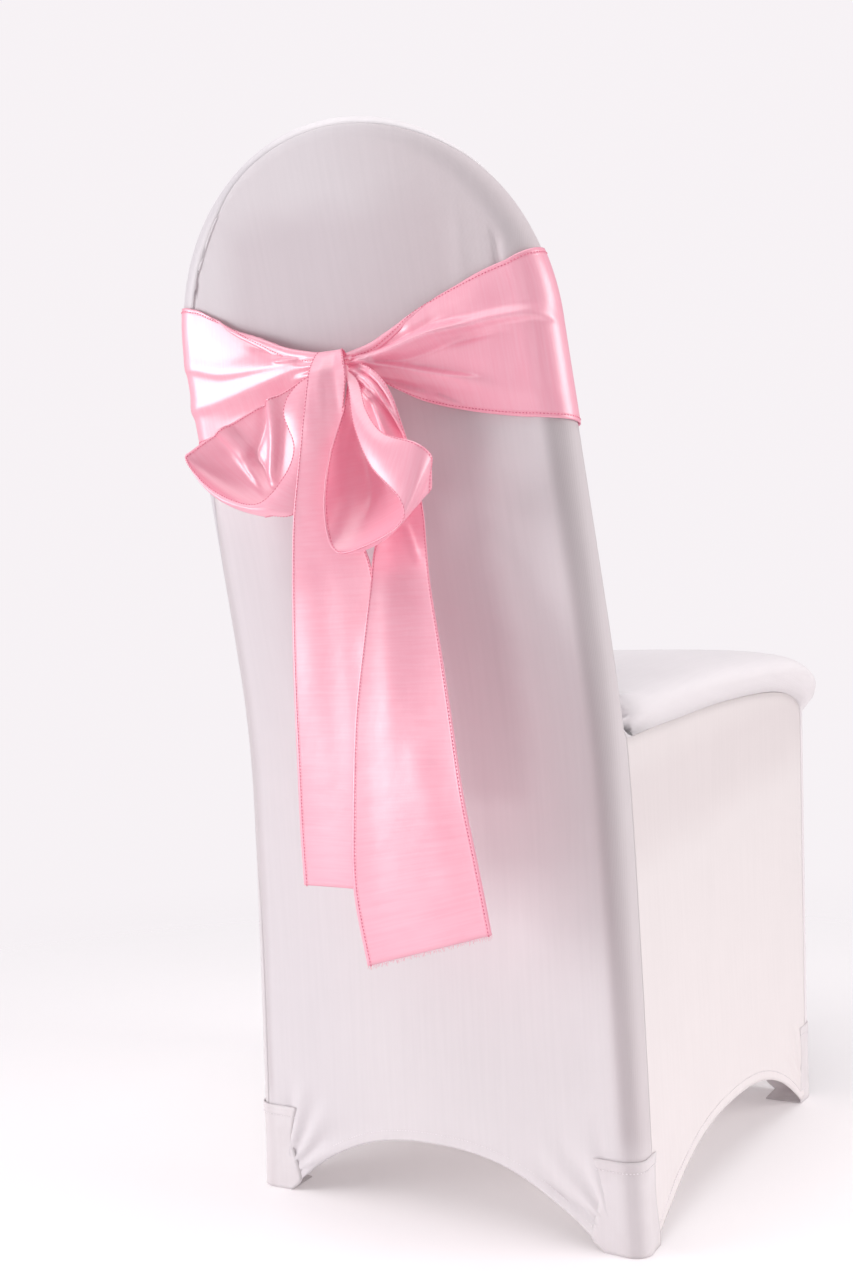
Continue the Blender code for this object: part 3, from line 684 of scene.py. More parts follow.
def front_shades(place):
    """White knit, a little greyer low on the skirt, with painted shade where it turns over the left
    rim.
    """
    x, y, z = place.parts()
    wander = place.noise(6.0, 3.0) - 0.5
    upper = (z + wander * 0.08).step(-0.60, -0.48)
    # Painted shade where the cloth turns over the left rim.
    left_rim_shade = (1.0 - rim_inset(x, z).step(0.010, 0.024)) * x.step(-0.02, 0.10)
    left_rim_shade = left_rim_shade * z.step(-0.46, -0.40) * (y - z * RAKE).step(-0.006, 0.006)
    return shade_over((0.80, 0.75, 0.77), (upper, 1.0, (0.83, 0.79, 0.81)),
                      (left_rim_shade, 0.85, (0.58, 0.545, 0.575)))


front_cloth = finish_cloth("front_cloth", mesh, (0.0, -1.0, 0.5), KNIT_THICKNESS, front_flat)
front_cloth.data.materials.append(stretch_knit("stretch_knit_front", front_shades))
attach(front_cloth, "root")
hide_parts("front_panel")

# ---- The side panels ----
# Each closes the cover under the seat, from the rear seam to the front corner seam. The cloth
# is pulled taut between the legs, so it hollows a little, and its hem arches between the feet.
SIDE_HEM_RISE = 0.067
SIDE_HEM_CENTRE_Y = 0.010
SIDE_HEM_HALF = 0.197
SIDE_FAN_CENTRE_Y = 0.006
SIDE_FAN_HALF = 0.202
SIDE_FAN_SHARE = 0.6
SIDE_HOLLOW = 0.004
SIDE_ROWS = 60


def side_shades(place):
    """Warmer and a little greyer with painted shade under the seat, most in the band where the
    seat's frame lies behind the cloth, and at the left rim.
    """
    x, y, z = place.parts()
    wander = place.noise(7.0, 3.0) - 0.5
    slope = z + y * 0.10 + wander * 0.02
    # Painted shade: the shadows of the seat's cushion and frame, seen through the sheer knit.
    apron_shade = slope.step(-0.665, -0.600)
    frame_shadow = apron_shade * (1.0 - slope.step(-0.575, -0.545))
    # Painted shade where the cloth turns round the left rim.
    left_rim_shade = rim_inset(x, z).step(0.0005, 0.004) * x.step(0.0, 0.1)
    return shade_over((0.79, 0.735, 0.735), (apron_shade, 0.6, (0.755, 0.690, 0.688)),
                      (frame_shadow, 0.5, (0.70, 0.63, 0.635)), (left_rim_shade, 0.8, (0.60, 0.560, 0.578)))


def side_hem(y):
    return hem_arch(y - SIDE_HEM_CENTRE_Y, SIDE_HEM_HALF, SIDE_HEM_RISE)


def side_cloth(name, node, side):
    """Make a side's cloth, and return its rows of points, from the seat down to the hem."""
    tops = []
    for place in SEAT_PLACES:
        seam_y, seam_z, half = section_at(SEAT_SECTIONS, place)[:3]
        tops.append(Vector((side * half, seam_y, seam_z)))
    tops.append(Vector((side * FRONT_HALF, FRONT_TOP_Y, SKIRT_TOP_HEIGHT)))
    rear_top = leg_point(side, SEAM_HEIGHT, -90.0)
    rear_foot = leg_point(side, HEM_FOOT_HEIGHT, -90.0)
    mesh = bmesh.new()
    rows = []
    for row in range(SIDE_ROWS + 1):
        s = row / SIDE_ROWS
        s = s * (1.5 - 0.5 * s)
        points = []
        for step in range(SEAM_STEPS + 1):
            share = step / SEAM_STEPS
            foot = leg_point(side, HEM_FOOT_HEIGHT, mix(
                seam_angle(side, HEM_FOOT_HEIGHT), -90.0, share))
            z = mix(SEAM_HEIGHT, side_hem(foot.y), s)
            points.append(leg_point(side, z, mix(seam_angle(side, z), -90.0, share)))
        for top in tops:
            t = (rear_top.y - top.y) / (rear_top.y - FRONT_TOP_Y)
            y = mix(rear_foot.y, FRONT_FOOT_Y, t)
            hem = side_hem(y)
            bottom = Vector((side * mix(REAR_FOOT_HALF, FRONT_HALF, t), y, hem))
            point = top.lerp(bottom, s)
            straight = mix(back_y(top.z), back_y(hem), s)
            point.y += (back_y(point.z) - straight) * (1.0 - t)
            out = -SIDE_HOLLOW * math.sin(math.pi * s) * math.sin(math.pi * t)
            out += hem_swell(point.z - hem)
            fan = foot_creases(point.y - SIDE_FAN_CENTRE_Y, point.z, SIDE_FAN_HALF)
            out += SIDE_FAN_SHARE * fan * smooth_step(0.0, 0.1, t)
            point.x += side * out
            points.append(point)
        rows.append(points)
    grid = add_grid(mesh, rows)
    columns = list(zip(*grid))
    turn_seam_in(mesh, grid[0], grid[1], lambda point: Vector((-side, 0.0, 0.0)))
    turn_seam_in(mesh, columns[0], columns[1], towards_rim_centre)
    turn_seam_in(mesh, columns[-1], columns[-2], lambda point: Vector((-side, 0.0, 0.0)))
    obj = finish_cloth(name, mesh, (side, 0.0, 0.0), KNIT_THICKNESS, lambda co: (co.y, co.z))
    obj.data.materials.append(side_knit)
    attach(obj, "root")
    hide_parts(node)
    return rows


side_knit = stretch_knit("stretch_knit_side", side_shades)
left_rows = side_cloth("side_cloth_left", "side_panel_left", 1)
right_rows = side_cloth("side_cloth_right", "side_panel_right", -1)

# ---- The foot pockets ----
# A doubled corner of the same knit is sewn into the hem at each foot and pulled over it. Its
# own top hem shows as a narrow band with a line of stitches.
POCKET_HEIGHT = 0.080
POCKET_THICKNESS = 0.0009
POCKET_GAP = 0.0003
POCKET_BAND = 0.0085
POCKET_BAND_HEIGHT = POCKET_HEIGHT - POCKET_BAND
# height, how far it reaches along the back or front, and along the side
POCKET_REACHES = (
    (0.000, 0.021, 0.018),
    (0.006, 0.029, 0.019),
    (0.012, 0.033, 0.019),
    (0.022, 0.030, 0.017),
    (0.045, 0.023, 0.014),
    (0.066, 0.025, 0.015),
    (0.080, 0.029, 0.018),
)
POCKET_EASE = 0.45
POCKET_PULL = 0.0004         # rise of the slight waves of the pulled cloth
POCKET_WAVES = 70.0
POCKET_SWELL = 0.0004
POCKET_ROWS = 26
POCKET_CORNER_STEPS = 12
POCKET_FRONT_STEPS = 19
POCKET_SIDE_STEPS = 6
SIDE_SPREAD = (FRONT_HALF - REAR_FOOT_HALF) / (BACK_Y - FRONT_FOOT_Y)


def pocket_outline(end, z):
    """Plan of a left pocket, from the middle of the back or front round to the side."""
    reach, side_reach = rows_at(POCKET_REACHES, z)
    shares = [k / POCKET_SIDE_STEPS for k in range(1, POCKET_SIDE_STEPS + 1)]
    side_end = Vector((SIDE_SPREAD * side_reach, -side_reach))
    if end == "rear":
        radius = rim_radius(z)
        centre = Vector((back_half(z) - radius, back_y(z)))
        points = [centre + Vector((-reach * share, radius)) for share in reversed(shares)]
        for step in range(POCKET_CORNER_STEPS + 1):
            turn = math.pi / 2 * (1.0 - step / POCKET_CORNER_STEPS)
            points.append(centre + radius * Vector((math.cos(turn), math.sin(turn))))
        return points + [points[-1] + side_end * share for share in shares]
    depth = (reach + SKIRT_CORNER_DEPTH) / FRONT_HALF
    points = [front_skirt_point(1.0 - depth * (1.0 - k / POCKET_FRONT_STEPS) ** 2, z).xy
              for k in range(POCKET_FRONT_STEPS + 1)]
    return points + [points[-1] - side_end * share for share in shares]


def pocket_shades(place):
    """The same white knit, greyer with painted shade where the leg's frame tubing lies behind it.
    """
    x, _, z = place.parts()
    patches = place.noise(30.0, 3.0).step(0.3, 0.7)
    inset = rim_inset(x, z)
    # Painted shade of the leg's frame, seen through the doubled knit.
    tube_shadow = inset.step(0.000, 0.008) * (1.0 - inset.step(0.011, 0.022))
    return shade_over((0.700, 0.652, 0.665), (patches, 1.0, (0.740, 0.695, 0.710)),
                      (tube_shadow, 0.5, (0.60, 0.545, 0.560)))


def foot_pocket(end, side):
    """Make a pocket's cloth, and return its rows of points, from the floor up."""
    name = f"foot_pocket_cloth_{end}_{'left' if side > 0 else 'right'}"
    turn = 1.0 if end == "front" else -1.0
    rows = []
    for row in range(POCKET_ROWS + 1):
        z = POCKET_HEIGHT * row / POCKET_ROWS
        plan = pocket_outline(end, z)
        band = smooth_step(POCKET_BAND_HEIGHT - HEM_STEP, POCKET_BAND_HEIGHT, z)
        points = []
        for k, point in enumerate(plan):
            ahead = plan[min(k + 1, len(plan) - 1)] - plan[max(k - 1, 0)]
            away = turn * Vector((ahead.y, -ahead.x)).normalized()
            t = k / (len(plan) - 1)
            middle = 1.0 - abs(2.0 * t - 1.0)
            wave = math.sin(POCKET_WAVES * (z + 0.3 * middle * POCKET_HEIGHT))
            pull = POCKET_PULL * middle * wave
            ease = min(smooth_step(-0.2, 0.3, t), smooth_step(0.0, POCKET_EASE, 1.0 - t))
            proud = (POCKET_GAP + POCKET_THICKNESS) * mix(0.1, 1.0, ease)
            moved = point + away * (proud + POCKET_SWELL * band + pull)
            points.append(Vector((side * moved.x, moved.y, z)))
        rows.append(points)
    mesh = bmesh.new()
    grid = add_grid(mesh, rows)
    corner = mesh.verts.new((grid[0][0].co.x, grid[0][-1].co.y, 0.0))
    for a, b in zip(grid[0], grid[0][1:]):
        mesh.faces.new((a, b, corner))
    facing = (side, 1.0 if end == "rear" else -1.0, 0.0)
    obj = finish_cloth(name, mesh, facing, POCKET_THICKNESS, lambda co: (co.x + co.y, co.z))
    obj.data.materials.append(pocket_knit)
    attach(obj, "root")
    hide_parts(name.replace("_cloth", ""))
    return rows


pocket_knit = stretch_knit("doubled_knit", pocket_shades)
pocket_rows = [foot_pocket(end, side) for end in ("rear", "front") for side in (1, -1)]

# ---- The sash round the back ----
# A strip of pink polyester satin about 15 cm wide, laid across the front of the back and drawn
# behind it. It lies smooth round the rims, then gathers into folds that run to the knot.
SATIN_THICKNESS = 0.0008
SASH_WIDTH = 0.145
BAND_COLUMNS = 92
TURNED_DEPTH = 0.003         # how far the folded hem stands out
FULLY_TURNED = 0.006
PLEAT_RISE = 0.0018
# path, lower edge, crest, lift, turned, puff. Path is 0 at the knot, 1 to 2 round the left rim,
# 2 to 3 across the front, 3 to 4 round the right rim, 5 at the knot. Turned is how much of the
# upper hem is folded over to the outside, and puff how far the middle stands above the hems.
BAND_SECTIONS = (
    (-0.06, 0.742, 0.757, 0.0220, 0.008, 0.000),
    (0.12, 0.736, 0.764, 0.0190, 0.011, 0.004),
    (0.33, 0.726, 0.773, 0.0125, 0.012, 0.006),
    (0.52, 0.717, 0.786, 0.0080, 0.009, 0.006),
    (0.70, 0.711, 0.797, 0.0054, 0.004, 0.005),
    (0.82, 0.709, 0.808, 0.0036, 0.001, 0.004),
    (1.00, 0.706, 0.820, 0.0018, 0.0, 0.002),
    (1.40, 0.704, 0.824, 0.0012, 0.0, 0.000),
    (2.00, 0.700, 0.826, 0.0018, 0.0, 0.000),
    (2.50, 0.692, 0.825, 0.0018, 0.0, 0.000),
    (3.00, 0.689, 0.826, 0.0018, 0.0, 0.000),
    (3.60, 0.692, 0.823, 0.0018, 0.0, 0.000),
    (4.00, 0.695, 0.814, 0.0022, 0.0, 0.002),
    (4.20, 0.700, 0.8065, 0.0036, 0.0, 0.005),
    (4.45, 0.7095, 0.793, 0.0052, 0.002, 0.007),
    (4.60, 0.718, 0.783, 0.0080, 0.006, 0.007),
    (4.72, 0.729, 0.7735, 0.0120, 0.009, 0.005),
    (4.82, 0.739, 0.7655, 0.0165, 0.010, 0.003),
    (5.03, 0.743, 0.757, 0.0220, 0.008, 0.000),
)
# path where a stretch starts, its length, and its number of rows
BAND_STRETCHES = (
    (-0.06, 1.06, 60),
    (1.00, 1.00, 24),
    (2.00, 1.00, 30),
    (3.00, 1.00, 24),
    (4.00, 1.03, 60),
)
# The folds of the two wings, unrolled off the rims. Some are steeper on their lower side.
WING_FOLDS = (
    fold_line(0.0056, 0.0100, 0.0100, (-0.005, 0.746), (-0.045, 0.753), (-0.090, 0.764),
              (-0.125, 0.769)),
    fold_line(0.0070, 0.0022, 0.0062, (-0.005, 0.746), (-0.045, 0.753), (-0.090, 0.764),
              (-0.135, 0.770), (-0.170, 0.771), (-0.195, 0.765)),
    fold_line(0.0034, 0.0060, 0.0078, (-0.020, 0.750), (-0.060, 0.741), (-0.100, 0.731),
              (-0.135, 0.724)),
    fold_line(0.0036, 0.0036, -0.0044, (-0.025, 0.749), (-0.065, 0.750), (-0.110, 0.759),
              (-0.160, 0.763)),
    fold_line(0.0030, 0.0030, 0.0044, (-0.020, 0.746), (-0.045, 0.731), (-0.080, 0.718)),
    fold_line(0.0120, 0.0120, 0.0020, (-0.055, 0.772), (-0.100, 0.788), (-0.165, 0.797)),
    fold_line(0.0032, 0.0032, -0.0026, (-0.020, 0.754), (-0.055, 0.765), (-0.100, 0.780)),
    fold_line(0.0110, 0.0110, 0.0018, (-0.055, 0.727), (-0.120, 0.720), (-0.210, 0.708)),
    fold_line(0.0022, 0.0022, 0.0022, (-0.080, 0.720), (-0.100, 0.709)),
    fold_line(0.0100, 0.0040, 0.0018, (0.030, 0.760), (0.080, 0.760), (0.130, 0.761),
              (0.170, 0.771), (0.215, 0.774)),
    fold_line(0.0100, 0.0050, 0.0022, (0.030, 0.757), (0.085, 0.747), (0.140, 0.738),
              (0.190, 0.735), (0.225, 0.733)),
    fold_line(0.0036, 0.0036, -0.0010, (0.025, 0.757), (0.065, 0.769), (0.105, 0.785)),
    fold_line(0.0016, 0.0016, 0.0024, (0.042, 0.761), (0.070, 0.763)),
    fold_line(0.0090, 0.0090, -0.0018, (0.050, 0.738), (0.100, 0.728), (0.160, 0.722)),
)


def round_the_back(path, z, lift):
    """The place of a path and height on the back, a little away from it."""
    half = back_half(z) - BACK_RIM_RADIUS
    radius = BACK_RIM_RADIUS + lift
    y = back_y(z)
    if path <= 1.0:
        return Vector((half * path, y + radius, z))
    if 2.0 < path <= 3.0:
        return Vector((half * (5.0 - 2.0 * path), y - radius, z))
    if path > 4.0:
        return Vector((half * (path - 5.0), y + radius, z))
    side = 1.0 if path <= 2.0 else -1.0
    turn = math.pi * (1.5 - path if side > 0.0 else path - 3.5)
    return Vector((side * (half + radius * math.cos(turn)), y + radius * math.sin(turn), z))


def unrolled_x(path, z):
    """How far from the middle the band lies at a path, measured along the back and rims."""
    half, arc = back_half(z) - BACK_RIM_RADIUS, math.pi * BACK_RIM_RADIUS
    if path <= 2.5:
        return half * min(path, 1.0) + arc * max(path - 1.0, 0.0)
    return -half * min(5.0 - path, 1.0) - arc * max(4.0 - path, 0.0)


def band_rows():
    paths = []
    for start, length, count in BAND_STRETCHES:
        paths += [start + length * k / count for k in range(count)]
    paths.append(start + length)
    rows = []
    for path in paths:
        lower, crest, lift, turned, puff = rows_at(BAND_SECTIONS, path)
        from_knot = min(abs(path), abs(5.0 - path))
        gathered = 1.0 - smooth_step(0.02, 0.40, from_knot)
        share = max(turned, 0.0) / SASH_WIDTH
        row = []
        for k in range(BAND_COLUMNS + 1):
            v = k / BAND_COLUMNS
            body = min(v / (1.0 - share), 1.0)
            over = max(v - (1.0 - share), 0.0) / share if share > 0.0 else 0.0
            z = mix(lower, crest, body) - turned * over
            pleat = PLEAT_RISE * gathered ** 1.5 * math.cos(2 * math.pi * (4.5 * body + 0.2))
            pleat *= min(body * 8.0, 1.0) * min((1.0 - body) * 8.0 + over, 1.0)
            outward = lift + puff * math.sin(math.pi * body) + pleat
            outward += (TURNED_DEPTH * min(turned / FULLY_TURNED, 1.0)
                        * math.sin(math.pi * min(over, 0.5)))
            outward += fold_lift(unrolled_x(path, z), z, WING_FOLDS) * (1.0 - over)
            row.append(round_the_back(path, z, outward))
        rows.append(row)
    return rows


# ---- The bow's hanging ends ----
# The front end comes up behind the knot, turns over its top and hangs in front. The rear end
# leaves the knot at its right and hangs a little in front of it, its cut end slanting.
# height, then x and y of the left hem and of the right hem, and how much higher the right hem is
FRONT_END_SECTIONS = (
    (0.746, 0.008, 0.338, -0.008, 0.338, 0.0),
    (0.758, 0.011, 0.344, -0.010, 0.344, 0.0),
    (0.761, 0.012, 0.353, -0.012, 0.353, 0.0),
    (0.750, 0.013, 0.363, -0.018, 0.361, 0.0),
    (0.735, 0.013, 0.369, -0.020, 0.362, 0.0),
    (0.700, 0.018, 0.371, -0.014, 0.360, 0.0),
    (0.660, 0.027, 0.369, -0.008, 0.355, 0.0),
    (0.625, 0.035, 0.365, -0.010, 0.350, 0.0),
    (0.590, 0.043, 0.358, -0.025, 0.346, 0.0),
    (0.550, 0.050, 0.351, -0.031, 0.345, 0.0),
    (0.490, 0.055, 0.346, -0.036, 0.343, 0.0),
    (0.420, 0.057, 0.343, -0.043, 0.342, 0.0),
    (0.365, 0.058, 0.341, -0.047, 0.341, 0.0),
    (0.317, 0.057, 0.340, -0.050, 0.340, 0.0),
)
REAR_END_SECTIONS = (
    (0.738, 0.000, 0.345, 0.000, 0.343, 0.015),
    (0.738, -0.015, 0.351, -0.015, 0.349, 0.015),
    (0.730, -0.025, 0.356, -0.035, 0.354, 0.015),
    (0.715, -0.030, 0.358, -0.050, 0.356, 0.018),
    (0.700, -0.030, 0.357, -0.060, 0.355, 0.016),
    (0.680, -0.040, 0.354, -0.068, 0.353, 0.010),
    (0.660, -0.052, 0.348, -0.072, 0.349, 0.006),
    (0.640, -0.055, 0.340, -0.074, 0.344, 0.003),
    (0.620, -0.040, 0.337, -0.075, 0.340, 0.0),
    (0.600, -0.028, 0.341, -0.076, 0.340, 0.0),
    (0.565, -0.028, 0.352, -0.080, 0.343, 0.0),
    (0.515, -0.022, 0.358, -0.090, 0.348, 0.0),
    (0.460, -0.012, 0.357, -0.100, 0.353, 0.0),
    (0.395, -0.006, 0.357, -0.110, 0.357, 0.0),
    (0.335, -0.004, 0.357, -0.120, 0.357, 0.0),
    (0.275, -0.015, 0.357, -0.130, 0.357, 0.0),
)
FRONT_END_FOLDS = (
    fold_line(0.0040, 0.0040, -0.0006, (-0.006, 0.760), (-0.012, 0.695)),
    fold_line(0.0036, 0.0036, 0.0008, (0.001, 0.760), (0.003, 0.700)),
    fold_line(0.0060, 0.0060, 0.0008, (0.006, 0.752), (0.017, 0.680)),
    fold_line(0.0120, 0.0120, 0.0014, (0.003, 0.715), (0.013, 0.580)),
    fold_line(0.0140, 0.0140, 0.0008, (0.033, 0.660), (0.041, 0.430)),
    fold_line(0.0140, 0.0140, -0.0008, (0.016, 0.610), (0.014, 0.380)),
    fold_line(0.0100, 0.0100, 0.0012, (-0.020, 0.540), (-0.027, 0.340)),
)
REAR_END_FOLDS = (
    fold_line(0.0030, 0.0016, 0.0030, (-0.005, 0.746), (-0.035, 0.736), (-0.055, 0.709),
              (-0.080, 0.660)),
    fold_line(0.0017, 0.0017, -0.0050, (-0.025, 0.743), (-0.045, 0.729), (-0.065, 0.696)),
    fold_line(0.0025, 0.0025, -0.0050, (-0.020, 0.735), (-0.035, 0.725), (-0.045, 0.715)),
    fold_line(0.0028, 0.0028, -0.0060, (-0.040, 0.720), (-0.055, 0.701), (-0.070, 0.668)),
    fold_line(0.0040, 0.0020, 0.0036, (-0.030, 0.729), (-0.045, 0.710), (-0.055, 0.675)),
    fold_line(0.0030, 0.0030, 0.0020, (-0.035, 0.743), (-0.055, 0.718), (-0.070, 0.685)),
    fold_line(0.0110, 0.0110, 0.0007, (-0.045, 0.620), (-0.045, 0.400)),
    fold_line(0.0140, 0.0140, -0.0006, (-0.060, 0.600), (-0.075, 0.450)),
    fold_line(0.0040, 0.0040, -0.0012, (-0.055, 0.620), (-0.070, 0.580)),
    fold_line(0.0140, 0.0140, 0.0008, (-0.065, 0.450), (-0.105, 0.290)),
    fold_line(0.0140, 0.0140, -0.0005, (-0.020, 0.440), (-0.030, 0.290)),
)
END_SLANT = 0.034            # how much higher one corner of the rear end's cut is
SLANT_START = 0.80           # share of the end's length from which its rows turn to the slant
END_RIPPLE = 0.0006
END_COLUMNS = 68
END_STEPS = 14


def hanging_end(sections, folds, slant):
    """Rows of points down a hanging end."""
    rows = []
    steps = (len(sections) - 1) * END_STEPS
    for step in range(steps + 1):
        z, left_x, left_y, right_x, right_y, tilt = section_at(sections, step / END_STEPS)
        last = smooth_step(SLANT_START, 1.0, step / steps)
        row = []
        for k in range(END_COLUMNS + 1):
            t = k / END_COLUMNS
            x = mix(left_x, right_x, t)
            height = z + tilt * t + slant * (t - 0.5) * last
            ripple = END_RIPPLE * math.cos(2 * math.pi * (t * 1.2 + 0.9 * z))
            y = mix(left_y, right_y, t) + ripple + fold_lift(x, height, folds)
            row.append(Vector((x, y, height)))
        rows.append(row)
    return rows


# ---- The bow's loops ----
# The strip leaves the knot, turns back at the loop's end and returns in front of itself, its
# near hem drawn aside, so that the inside of the loop shows.
# near hem, middle and far hem, each as x, y and height
LEFT_LOOP_SECTIONS = (
    ((0.010, 0.348, 0.752), (0.010, 0.345, 0.748), (0.010, 0.343, 0.744)),
    ((0.045, 0.352, 0.735), (0.040, 0.344, 0.720), (0.035, 0.341, 0.700)),
    ((0.100, 0.352, 0.715), (0.085, 0.338, 0.690), (0.055, 0.341, 0.650)),
    ((0.145, 0.354, 0.695), (0.120, 0.346, 0.665), (0.065, 0.352, 0.635)),
    ((0.150, 0.359, 0.685), (0.115, 0.362, 0.650), (0.065, 0.359, 0.630)),
    ((0.115, 0.366, 0.655), (0.090, 0.370, 0.640), (0.055, 0.364, 0.630)),
    ((0.070, 0.370, 0.640), (0.055, 0.371, 0.635), (0.035, 0.363, 0.630)),
    ((0.045, 0.364, 0.660), (0.035, 0.364, 0.655), (0.025, 0.359, 0.650)),
    ((0.035, 0.360, 0.685), (0.025, 0.360, 0.685), (0.015, 0.356, 0.685)),
    ((0.045, 0.359, 0.715), (0.030, 0.360, 0.715), (0.015, 0.356, 0.715)),
    ((0.035, 0.356, 0.735), (0.025, 0.356, 0.735), (0.015, 0.354, 0.735)),
    ((0.010, 0.352, 0.749), (0.009, 0.350, 0.747), (0.008, 0.349, 0.745)),
)
RIGHT_LOOP_SECTIONS = (
    ((-0.012, 0.344, 0.744), (-0.014, 0.342, 0.743), (-0.016, 0.340, 0.742)),
    ((-0.017, 0.363, 0.710), (-0.025, 0.345, 0.715), (-0.045, 0.346, 0.705)),
    ((-0.010, 0.377, 0.670), (-0.020, 0.342, 0.680), (-0.065, 0.347, 0.675)),
    ((-0.005, 0.379, 0.630), (-0.025, 0.343, 0.640), (-0.080, 0.351, 0.650)),
    ((-0.010, 0.378, 0.600), (-0.045, 0.366, 0.605), (-0.095, 0.362, 0.640)),
    ((-0.030, 0.382, 0.595), (-0.070, 0.376, 0.610), (-0.100, 0.369, 0.655)),
    ((-0.080, 0.391, 0.610), (-0.095, 0.386, 0.635), (-0.105, 0.378, 0.665)),
    ((-0.085, 0.393, 0.630), (-0.090, 0.390, 0.650), (-0.095, 0.385, 0.675)),
    ((-0.055, 0.386, 0.660), (-0.060, 0.386, 0.675), (-0.065, 0.381, 0.685)),
    ((-0.035, 0.376, 0.695), (-0.040, 0.376, 0.700), (-0.045, 0.372, 0.705)),
    ((-0.022, 0.362, 0.730), (-0.025, 0.361, 0.730), (-0.030, 0.358, 0.730)),
    ((-0.010, 0.353, 0.748), (-0.013, 0.353, 0.748), (-0.016, 0.352, 0.748)),
)
LEFT_LOOP_FOLDS = (
    fold_line(0.0030, 0.0030, 0.0040, (0.125, 0.720), (0.110, 0.695), (0.075, 0.645)),
    fold_line(0.0035, 0.0035, 0.0045, (0.115, 0.715), (0.090, 0.675)),
    fold_line(0.0030, 0.0030, -0.0040, (0.095, 0.690), (0.070, 0.650)),
    fold_line(0.0040, 0.0040, -0.0035, (0.060, 0.740), (0.100, 0.675)),
    fold_line(0.0052, 0.0052, 0.0068, (0.060, 0.740), (0.067, 0.705), (0.078, 0.640)),
)
RIGHT_LOOP_FOLDS = (
    fold_line(0.0060, 0.0060, 0.0030, (-0.020, 0.710), (-0.050, 0.630)),
    fold_line(0.0060, 0.0060, -0.0030, (-0.018, 0.680), (-0.030, 0.610)),
)
LOOP_STEPS = 15
LOOP_TURN = 4                # the section where a loop folds back
LOOP_COLUMNS = 44


def loop_rows(sections, folds):
    """Rows of points along a loop, each bent from the near hem to the far hem."""
    sections = [[Vector(point) for point in section] for section in sections]
    rows = []
    for step in range((len(sections) - 1) * LOOP_STEPS + 1):
        place = step / LOOP_STEPS
        a, b, c = section_at(sections, place)
        fade = 1.0 - smooth_step(LOOP_TURN - 1.0, LOOP_TURN, place)
        row = []
        for k in range(LOOP_COLUMNS + 1):
            v = k / LOOP_COLUMNS
            point = a * (1 - v) * (1 - 2 * v) + b * 4 * v * (1 - v) + c * v * (2 * v - 1)
            point.y += fold_lift(point.x, point.z, folds) * fade
            row.append(point)
        rows.append(row)
    return rows


# ---- The knot ----
# The turns of the satin strip, drawn tight into a small flat ball behind the middle of the back.
# The front end is drawn up over it and covers it.
KNOT_CENTRE = (-0.003, 0.340, 0.747)
KNOT_HALF = (0.019, 0.010, 0.0105)
KNOT_TURN = -12.0
KNOT_RIDGE = 0.07


def add_knot(mesh):
    made = bmesh.ops.create_uvsphere(mesh, u_segments=64, v_segments=40, radius=1.0)
    turn = math.radians(KNOT_TURN)
    for vert in made["verts"]:
        unit = vert.co.copy()
        ridge = 1.0 + KNOT_RIDGE * math.cos(7.0 * math.pi * unit.x + 3.0 * unit.z)
        x, y, z = (half * part for half, part in zip(KNOT_HALF, unit))
        y, z = y * ridge, z * ridge
        vert.co = Vector(KNOT_CENTRE) + Vector((x * math.cos(turn) - z * math.sin(turn), y,
                                                x * math.sin(turn) + z * math.cos(turn)))
    return made["verts"]


# ---- The sash as one piece ----
# Band, knot, loops and ends are one strip. The satin is bright where a fold faces the light and
# deep where folds face each other.
HEM_TURNING = 0.006
STITCH_INSET = 0.0036


def pink_satin():
    material, shader, place, flat = new_cloth_material("pink_satin", {
        "IOR": 2.0, "Specular IOR Level": 0.5, "Anisotropic": 0.35,
        "Sheen Weight": 0.20, "Sheen Roughness": 0.35, "Sheen Tint": (1.0, 0.80, 0.86, 1.0),
        # The emission is painted light: a faint pink glow standing in for light that passes through
        # the thin satin and bounces between its folds.
        "Emission Color": (1.0, 0.16, 0.34, 1.0), "Emission Strength": 0.11})
    across = flat.parts()[0]
    threads = flat.stretched(14.0, 420.0, 1.0).noise(1.0, 2.0)
    broad = place.noise(22.0, 3.0)
    soft = place.noise(60.0, 2.0)
    colour = (threads * 0.6 + broad * 0.4).step(0.30, 0.70).blend((0.815, 0.366, 0.455),
                                                                 (0.835, 0.430, 0.515))
    from_hem = SASH_WIDTH * 0.5 - (across - SASH_WIDTH * 0.5).math("ABSOLUTE")
    doubled = 1.0 - from_hem.step(HEM_TURNING - 0.0006, HEM_TURNING)
    stitched = (from_hem - STITCH_INSET).math("ABSOLUTE").step(0.0004, 0.0012)
    colour = (doubled * 0.30).blend(colour, (0.84, 0.290, 0.390))
    height = threads * 0.25 + soft * 1.1 + broad * 1.4 + doubled * 0.5 + stitched * 0.5
    bump = flat.out("ShaderNodeBump", Strength=0.30, Distance=0.0008, Height=height)
    feed(shader, Base_Color=colour, Roughness=0.30 + threads * 0.10, Normal=bump)
    return material


def add_strip_rows(mesh, layer, rows):
    """Add a strip's grid with a UV map in metres: across 0 to the sash's width, and along."""
    verts = add_grid(mesh, rows)
    middle = len(rows[0]) // 2
    lengths = [0.0]
    for before, after in zip(rows, rows[1:]):
        lengths.append(lengths[-1] + (after[middle] - before[middle]).length)
    places = {}
    for line, length in zip(verts, lengths):
        for k, vert in enumerate(line):
            places[vert] = (SASH_WIDTH * k / (len(line) - 1), length)
    for line in verts:
        for vert in line:
            for loop in vert.link_loops:
                loop[layer].uv = places[vert]


